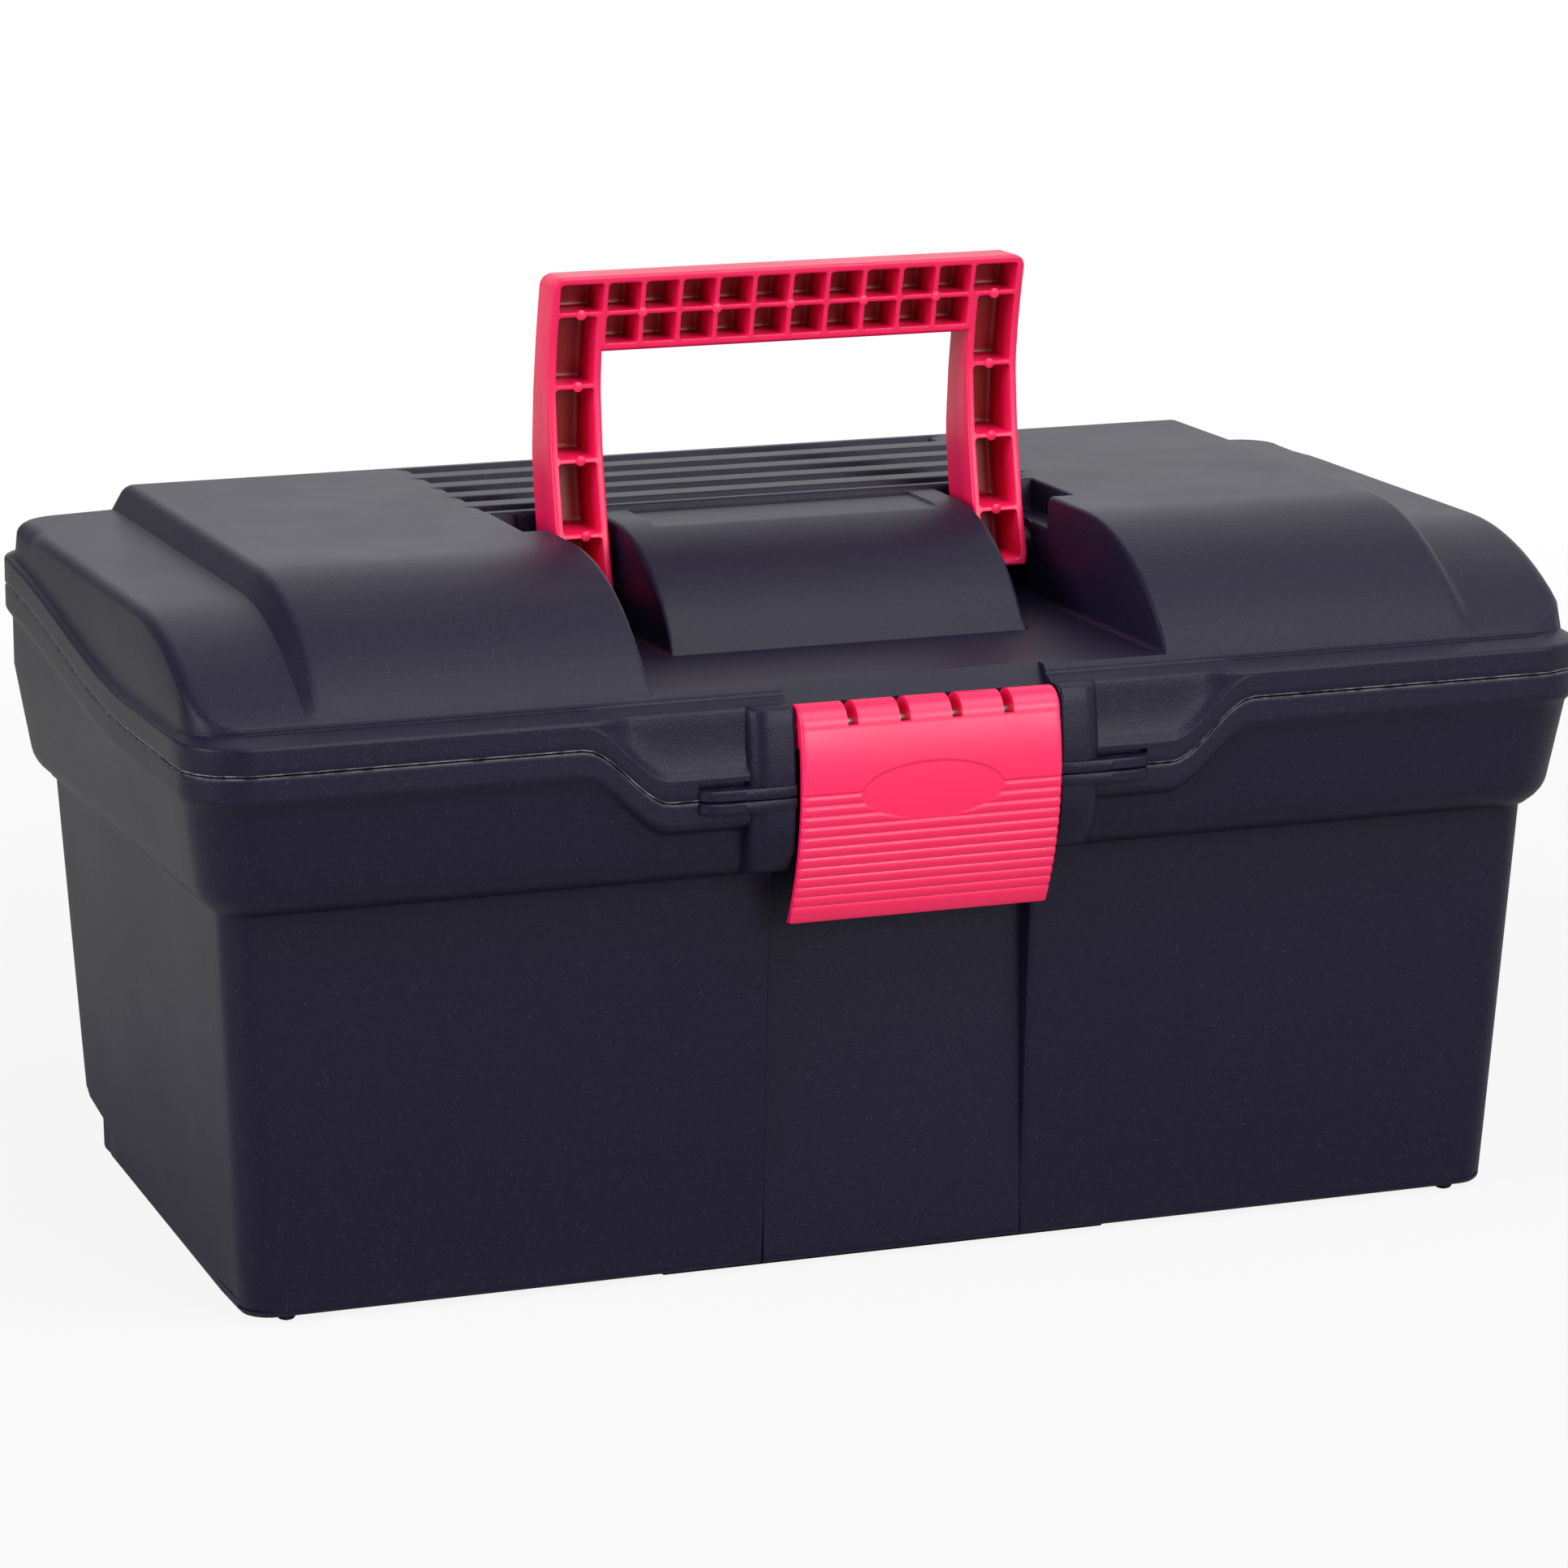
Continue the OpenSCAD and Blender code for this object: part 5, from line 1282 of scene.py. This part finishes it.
def moulded_polypropylene(name, body, speck_glint, finish, roughness, specks):
    """Moulded polypropylene from a spark-eroded mould: a fine pebbled grain that scatters the highlights,
    with pale specks painted into the colour as glints where the grain's tops would catch the light, and a broken
    white line where the parting edge was trimmed. The grain is drawn at about twice its real width so that it shows.
    The IOR is under polypropylene's 1.49, because the grain takes away part of the sheen."""
    made, tree = new_material(name)
    place = node(tree, "TexCoord")
    grain = node(tree, "TexNoise", {"Scale": 1.0 / finish.grain, "Detail": 3.0, "Roughness": 0.6},
                 {"Vector": place.outputs["Object"]})
    cloud = node(tree, "TexNoise", {"Scale": scale_of(35.7), "Detail": 4.0, "Roughness": 0.55},
                 {"Vector": place.outputs["Object"]})
    # Painted glints: pale specks mixed into the colour on the grain's tops, standing in for sparkle in the highlights
    tops = node(tree, "MapRange", {"From Min": 0.60, "From Max": 0.74, "To Min": 0.0, "To Max": specks},
                {"Value": grain})
    tone = node(tree, "MixRGB", {"Color1": rgba(body), "Color2": rgba(speck_glint)},
                {"Fac": tops})
    edge = node(tree, "Attribute", {"attribute_name": SCUFF_AND_POCKET_SHADE})
    breaks = node(tree, "TexNoise", {"Scale": scale_of(3.03), "Detail": 3.0},
                  {"Vector": place.outputs["Object"]})
    worn = node(tree, "MapRange", {"From Min": 0.36, "From Max": 0.60, "To Min": 0.15, "To Max": 1.0},
                {"Value": breaks})
    rub = node(tree, "Math", {"operation": "MULTIPLY"},
               {0: edge.outputs["Fac"], 1: worn})
    paint = node(tree, "MixRGB", {"Color2": rgba(finish.scuff)},
                 {"Fac": rub, "Color1": tone})
    rough = node(tree, "MapRange", {"From Min": 0.3, "From Max": 0.7, "To Min": roughness - 0.02,
                                              "To Max": roughness + 0.02}, {"Value": cloud})
    bump = node(tree, "Bump", {"Strength": 0.5, "Distance": 0.0002}, {"Height": grain})
    surface = node(tree, "BsdfPrincipled", {"IOR": 1.3, "Metallic": 0.0},
                   {"Base Color": paint, "Roughness": rough,
                    "Normal": bump})
    node(tree, "OutputMaterial", None, {"Surface": surface})
    return made


def satin_polypropylene(finish):
    """Bright polypropylene from a finely blasted mould: satin, slightly deeper in colour where flow lines run,
    and painted darker down in the handle's pockets as shade, where little light gets. Its blasted texture is too
    fine to show at its real width and is drawn several times wider."""
    made, tree = new_material("satin_pink_polypropylene")
    place = node(tree, "TexCoord")
    flow = node(tree, "TexNoise", {"Scale": scale_of(45.5), "Detail": 3.0, "Roughness": 0.5},
                {"Vector": place.outputs["Object"]})
    fine = node(tree, "TexNoise", {"Scale": 1.0 / (finish.grain * 0.8), "Detail": 2.0},
                {"Vector": place.outputs["Object"]})
    mix = node(tree, "MapRange", {"From Min": 0.35, "From Max": 0.7, "To Min": 0.0, "To Max": 0.35},
               {"Value": flow})
    tone = node(tree, "MixRGB", {"Color1": rgba(finish.pink), "Color2": rgba(finish.pink_deep)},
                {"Fac": mix})
    # Painted shade: the deeper a point lies in a pocket, the darker the colour
    depth = node(tree, "Attribute", {"attribute_name": SCUFF_AND_POCKET_SHADE})
    sunk = node(tree, "Math", {"operation": "POWER", 1: 2.2}, {0: depth.outputs["Fac"]})
    hollow = node(tree, "MixRGB", {"Color2": rgba(finish.pink_hollow)},
                  {"Fac": sunk, "Color1": tone})
    rough = node(tree, "MapRange", {"From Min": 0.3, "From Max": 0.7, "To Min": 0.34, "To Max": 0.42},
                 {"Value": flow})
    bump = node(tree, "Bump", {"Strength": 0.12, "Distance": 0.0001}, {"Height": fine})
    surface = node(tree, "BsdfPrincipled", {"IOR": 1.49},
                   {"Base Color": hollow, "Roughness": rough,
                    "Normal": bump})
    node(tree, "OutputMaterial", None, {"Surface": surface})
    return made


def drawn_steel(finish):
    """Drawn steel wire: a cold grey with fine lines along its length from the die, which are drawn wider than
    real ones so that they show."""
    made, tree = new_material("drawn_steel_wire")
    place = node(tree, "TexCoord")
    stretch = node(tree, "Mapping", {"Scale": (scale_of(25), scale_of(0.25), scale_of(0.25))},
                   {"Vector": place.outputs["Object"]})
    lines = node(tree, "TexNoise", {"Scale": 1.0, "Detail": 2.0}, {"Vector": stretch})
    rough = node(tree, "MapRange", {"From Min": 0.3, "From Max": 0.7, "To Min": 0.22, "To Max": 0.42},
                 {"Value": lines})
    bump = node(tree, "Bump", {"Strength": 0.15, "Distance": 0.00005}, {"Height": lines})
    surface = node(tree, "BsdfPrincipled", {"Base Color": rgba(finish.steel), "Metallic": 1.0},
                   {"Roughness": rough, "Normal": bump})
    node(tree, "OutputMaterial", None, {"Surface": surface})
    return made


def studio_paper(finish):
    """Matt white studio paper, lifted towards white where the camera sees it, with the shadow kept. Its fibres
    are drawn far wider than real ones."""
    made, tree = new_material("matt_studio_paper")
    place = node(tree, "TexCoord")
    fibre = node(tree, "TexNoise", {"Scale": scale_of(10 / 3), "Detail": 3.0},
                 {"Vector": place.outputs["Object"]})
    bump = node(tree, "Bump", {"Strength": 0.03, "Distance": 0.0002}, {"Height": fibre})
    sheet = node(tree, "BsdfDiffuse", {"Color": rgba(finish.floor)}, {"Normal": bump})
    path = node(tree, "LightPath")
    mirrored = node(tree, "Math", {"operation": "MAXIMUM"},
                    {0: path.outputs["Is Glossy Ray"], 1: path.outputs["Is Transmission Ray"]})
    away = node(tree, "VectorMath", {"operation": "LENGTH"}, {0: place.outputs["Object"]})
    fade = node(tree, "MapRange", {"From Min": 0.2, "From Max": 0.6, "To Min": 0.0, "To Max": 0.45},
                {"Value": away.outputs["Value"]})
    dimmed = node(tree, "Math", {"operation": "MULTIPLY"},
                  {0: mirrored, 1: fade})
    tint = node(tree, "MixRGB", {"Color1": (1.0, 1.0, 1.0, 1.0), "Color2": rgba(finish.bounce)},
                {"Fac": mirrored})
    white = node(tree, "Emission", {"Strength": 1.0}, {"Color": tint})
    lift = node(tree, "MapRange", {"From Min": 0.35, "From Max": 1.1, "To Min": 0.88, "To Max": 1.0},
                {"Value": away.outputs["Value"]})
    seen = node(tree, "Math", {"operation": "MULTIPLY_ADD"},
                {0: path.outputs["Is Camera Ray"], 1: lift, 2: dimmed})
    both = node(tree, "MixShader", None,
                {"Fac": seen, 1: sheet, 2: white})
    node(tree, "OutputMaterial", None, {"Surface": both})
    return made


def dress(made, material, body, node_name):
    """Gives a moulding its material and its body, and hides the CAD node that it stands for."""
    made.data.materials.append(material)
    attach(made, body)
    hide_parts(node_name)


def navy_material(finish):
    """The navy material, made once."""
    name = "grained_navy_polypropylene"
    return bpy.data.materials.get(name) or moulded_polypropylene(
        name, finish.navy, finish.speck_glint, finish, roughness=0.42, specks=0.16)


def pink_material(finish):
    """The pink material, made once."""
    return bpy.data.materials.get("satin_pink_polypropylene") or satin_polypropylene(finish)


def tray_material(finish):
    """The tray's material, made once."""
    name = "grained_grey_polypropylene"
    return bpy.data.materials.get(name) or moulded_polypropylene(
        name, finish.tray, finish.speck_glint, finish, roughness=0.48, specks=0.2)


# Operators

class GROOMING_OT_tub(bpy.types.Operator):
    """Build the tub"""

    bl_idname = "grooming.tub"
    bl_label = "Tub"

    def execute(self, context):
        box = context.scene.grooming_box
        made = make_tub(in_mm(box.rim), in_mm(box.tub), in_mm(box.lid).body_y)
        dress(made, navy_material(box.finish), "tub", "tub")
        return {"FINISHED"}


class GROOMING_OT_lid(bpy.types.Operator):
    """Build the lid"""

    bl_idname = "grooming.lid"
    bl_label = "Lid"

    def execute(self, context):
        box = context.scene.grooming_box
        made = make_lid(in_mm(box.rim), in_mm(box.lid), in_mm(box.handle))
        dress(made, navy_material(box.finish), "lid", "lid")
        return {"FINISHED"}


class GROOMING_OT_handle(bpy.types.Operator):
    """Build the folding handle"""

    bl_idname = "grooming.handle"
    bl_label = "Handle"

    def execute(self, context):
        box = context.scene.grooming_box
        dress(make_handle(in_mm(box.handle)), pink_material(box.finish), "handle", "handle")
        return {"FINISHED"}


class GROOMING_OT_latch(bpy.types.Operator):
    """Build the latch"""

    bl_idname = "grooming.latch"
    bl_label = "Latch"

    def execute(self, context):
        box = context.scene.grooming_box
        dress(make_latch(in_mm(box.latch)), pink_material(box.finish), "latch", "latch")
        return {"FINISHED"}


class GROOMING_OT_tray(bpy.types.Operator):
    """Build the lift-out tray and its grip"""

    bl_idname = "grooming.tray"
    bl_label = "Tray"

    def execute(self, context):
        box = context.scene.grooming_box
        tray = in_mm(box.tray)
        dress(make_tray(tray), tray_material(box.finish), "tray", "tray")
        dress(make_tray_grip(tray), tray_material(box.finish), "tray", "tray_grip")
        return {"FINISHED"}


class GROOMING_OT_pins(bpy.types.Operator):
    """Finish the hinge pins and the latch pin as drawn steel"""

    bl_idname = "grooming.pins"
    bl_label = "Pins"

    def execute(self, context):
        steel = drawn_steel(context.scene.grooming_box.finish)
        for name in ("latch_pin", "hinge_pin_left", "hinge_pin_right"):
            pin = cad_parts[name]
            pin.data.materials.clear()
            pin.data.materials.append(steel)
        return {"FINISHED"}


class GROOMING_OT_stage(bpy.types.Operator):
    """Set the floor, the lights and the camera"""

    bl_idname = "grooming.stage"
    bl_label = "Stage"

    def execute(self, context):
        scene = context.scene
        make_floor(scene.grooming_box.finish)
        make_lights(scene)
        make_camera(scene)
        scene.view_settings.view_transform = "Standard"
        return {"FINISHED"}


def make_floor(finish):
    """A wide sheet of paper just under the box, clear of the plane that its foot pad lies in."""
    mesh = bpy.data.meshes.new("floor")
    reach, low = 4.0, -0.1 * MM
    corners = [(-reach, -reach, low), (reach, -reach, low), (reach, reach, low), (-reach, reach, low)]
    mesh.from_pydata(corners, [], [(0, 1, 2, 3)])
    made = bpy.data.objects.new("floor", mesh)
    made.data.materials.append(studio_paper(finish))
    bpy.context.scene.collection.objects.link(made)


def make_lamp(name, place, target, size, power):
    """A soft area lamp aimed at a point."""
    data = bpy.data.lights.new(name, "AREA")
    data.shape = "RECTANGLE"
    data.size, data.size_y = size
    data.energy = power
    made = bpy.data.objects.new(name, data)
    made.location = place
    made.rotation_euler = (Vector(target) - Vector(place)).to_track_quat("-Z", "Y").to_euler()
    bpy.context.scene.collection.objects.link(made)


def make_lights(scene):
    """A large soft bank over the front, another at the left, a small lamp low at the front right for the sheen
    on the latch, and white walls, dim at the left, that mirror in the plastic but light it only a little."""
    make_lamp("key_bank", (0.35, -1.0, 1.8), (0, 0, 0.12), (1.6, 1.2), 22.0)
    make_lamp("front_glint", (0.65, -1.79, 0.74), (0, -0.1, 0.14), (0.55, 0.55), 14.0)
    make_lamp("left_bank", (-1.9, -0.5, 0.9), (0, 0, 0.15), (1.2, 1.4), 31.0)
    world = bpy.data.worlds.new("studio")
    scene.world = world
    world.use_nodes = True
    tree = world.node_tree
    tree.nodes.clear()
    path = node(tree, "LightPath")
    level = node(tree, "MapRange", {"To Min": 1.0, "To Max": 0.2},
                 {"Value": path.outputs["Is Diffuse Ray"]})
    place = node(tree, "TexCoord")
    aim = node(tree, "SeparateXYZ", None, {"Vector": place.outputs["Generated"]})
    flag = node(tree, "MapRange", {"From Min": -0.3, "From Max": 0.15, "To Min": 0.25, "To Max": 1.1},
                {"Value": aim.outputs["X"]})
    shade = node(tree, "MixRGB", {"Color1": (1.0, 1.0, 1.0, 1.0)},
                 {"Fac": path.outputs["Is Glossy Ray"], "Color2": flag})
    backdrop = node(tree, "Background", None,
                    {"Color": shade, "Strength": level})
    node(tree, "OutputWorld", None, {"Surface": backdrop})


def make_camera(scene):
    """The photograph's viewpoint."""
    data = bpy.data.cameras.new("camera")
    data.sensor_width, data.lens = 36.0, 135.7
    data.clip_start, data.clip_end = 0.1, 20.0
    made = bpy.data.objects.new("camera", data)
    made.location = (-0.5770, -1.5252, 0.4838)
    made.rotation_euler = tuple(math.radians(a) for a in (77.23, 0.0, -20.75))
    scene.collection.objects.link(made)
    scene.camera = made


class GROOMING_PT_panel(bpy.types.Panel):
    """Lists the pieces of the grooming box"""

    bl_label = "Grooming box"
    bl_idname = "GROOMING_PT_panel"
    bl_space_type = "VIEW_3D"
    bl_region_type = "UI"
    bl_category = "Grooming box"

    def draw(self, context):
        for operator in OPERATORS:
            self.layout.operator(operator.bl_idname)
        for name in ("rim", "lid", "tub", "handle", "latch", "tray", "finish"):
            group = getattr(context.scene.grooming_box, name)
            column = self.layout.column(heading=name.capitalize())
            for key in group.__annotations__:
                column.prop(group, key)


GROUPS = (RimSizes, LidSizes, TubSizes, HandleSizes, LatchSizes, TraySizes, Finish, GroomingBox)
OPERATORS = (GROOMING_OT_tub, GROOMING_OT_lid, GROOMING_OT_handle, GROOMING_OT_latch, GROOMING_OT_tray,
             GROOMING_OT_pins, GROOMING_OT_stage)


def register():
    """Registers the classes and the scene's settings."""
    for cls in GROUPS + OPERATORS + (GROOMING_PT_panel,):
        bpy.utils.register_class(cls)
    bpy.types.Scene.grooming_box = bpy.props.PointerProperty(type=GroomingBox)


def unregister():
    """Removes what register added."""
    del bpy.types.Scene.grooming_box
    for cls in reversed(GROUPS + OPERATORS + (GROOMING_PT_panel,)):
        bpy.utils.unregister_class(cls)


def main():
    """Builds the box."""
    register()
    bpy.ops.grooming.tub()
    bpy.ops.grooming.lid()
    bpy.ops.grooming.handle()
    bpy.ops.grooming.latch()
    bpy.ops.grooming.tray()
    bpy.ops.grooming.pins()
    bpy.ops.grooming.stage()


if __name__ == "__main__":
    main()
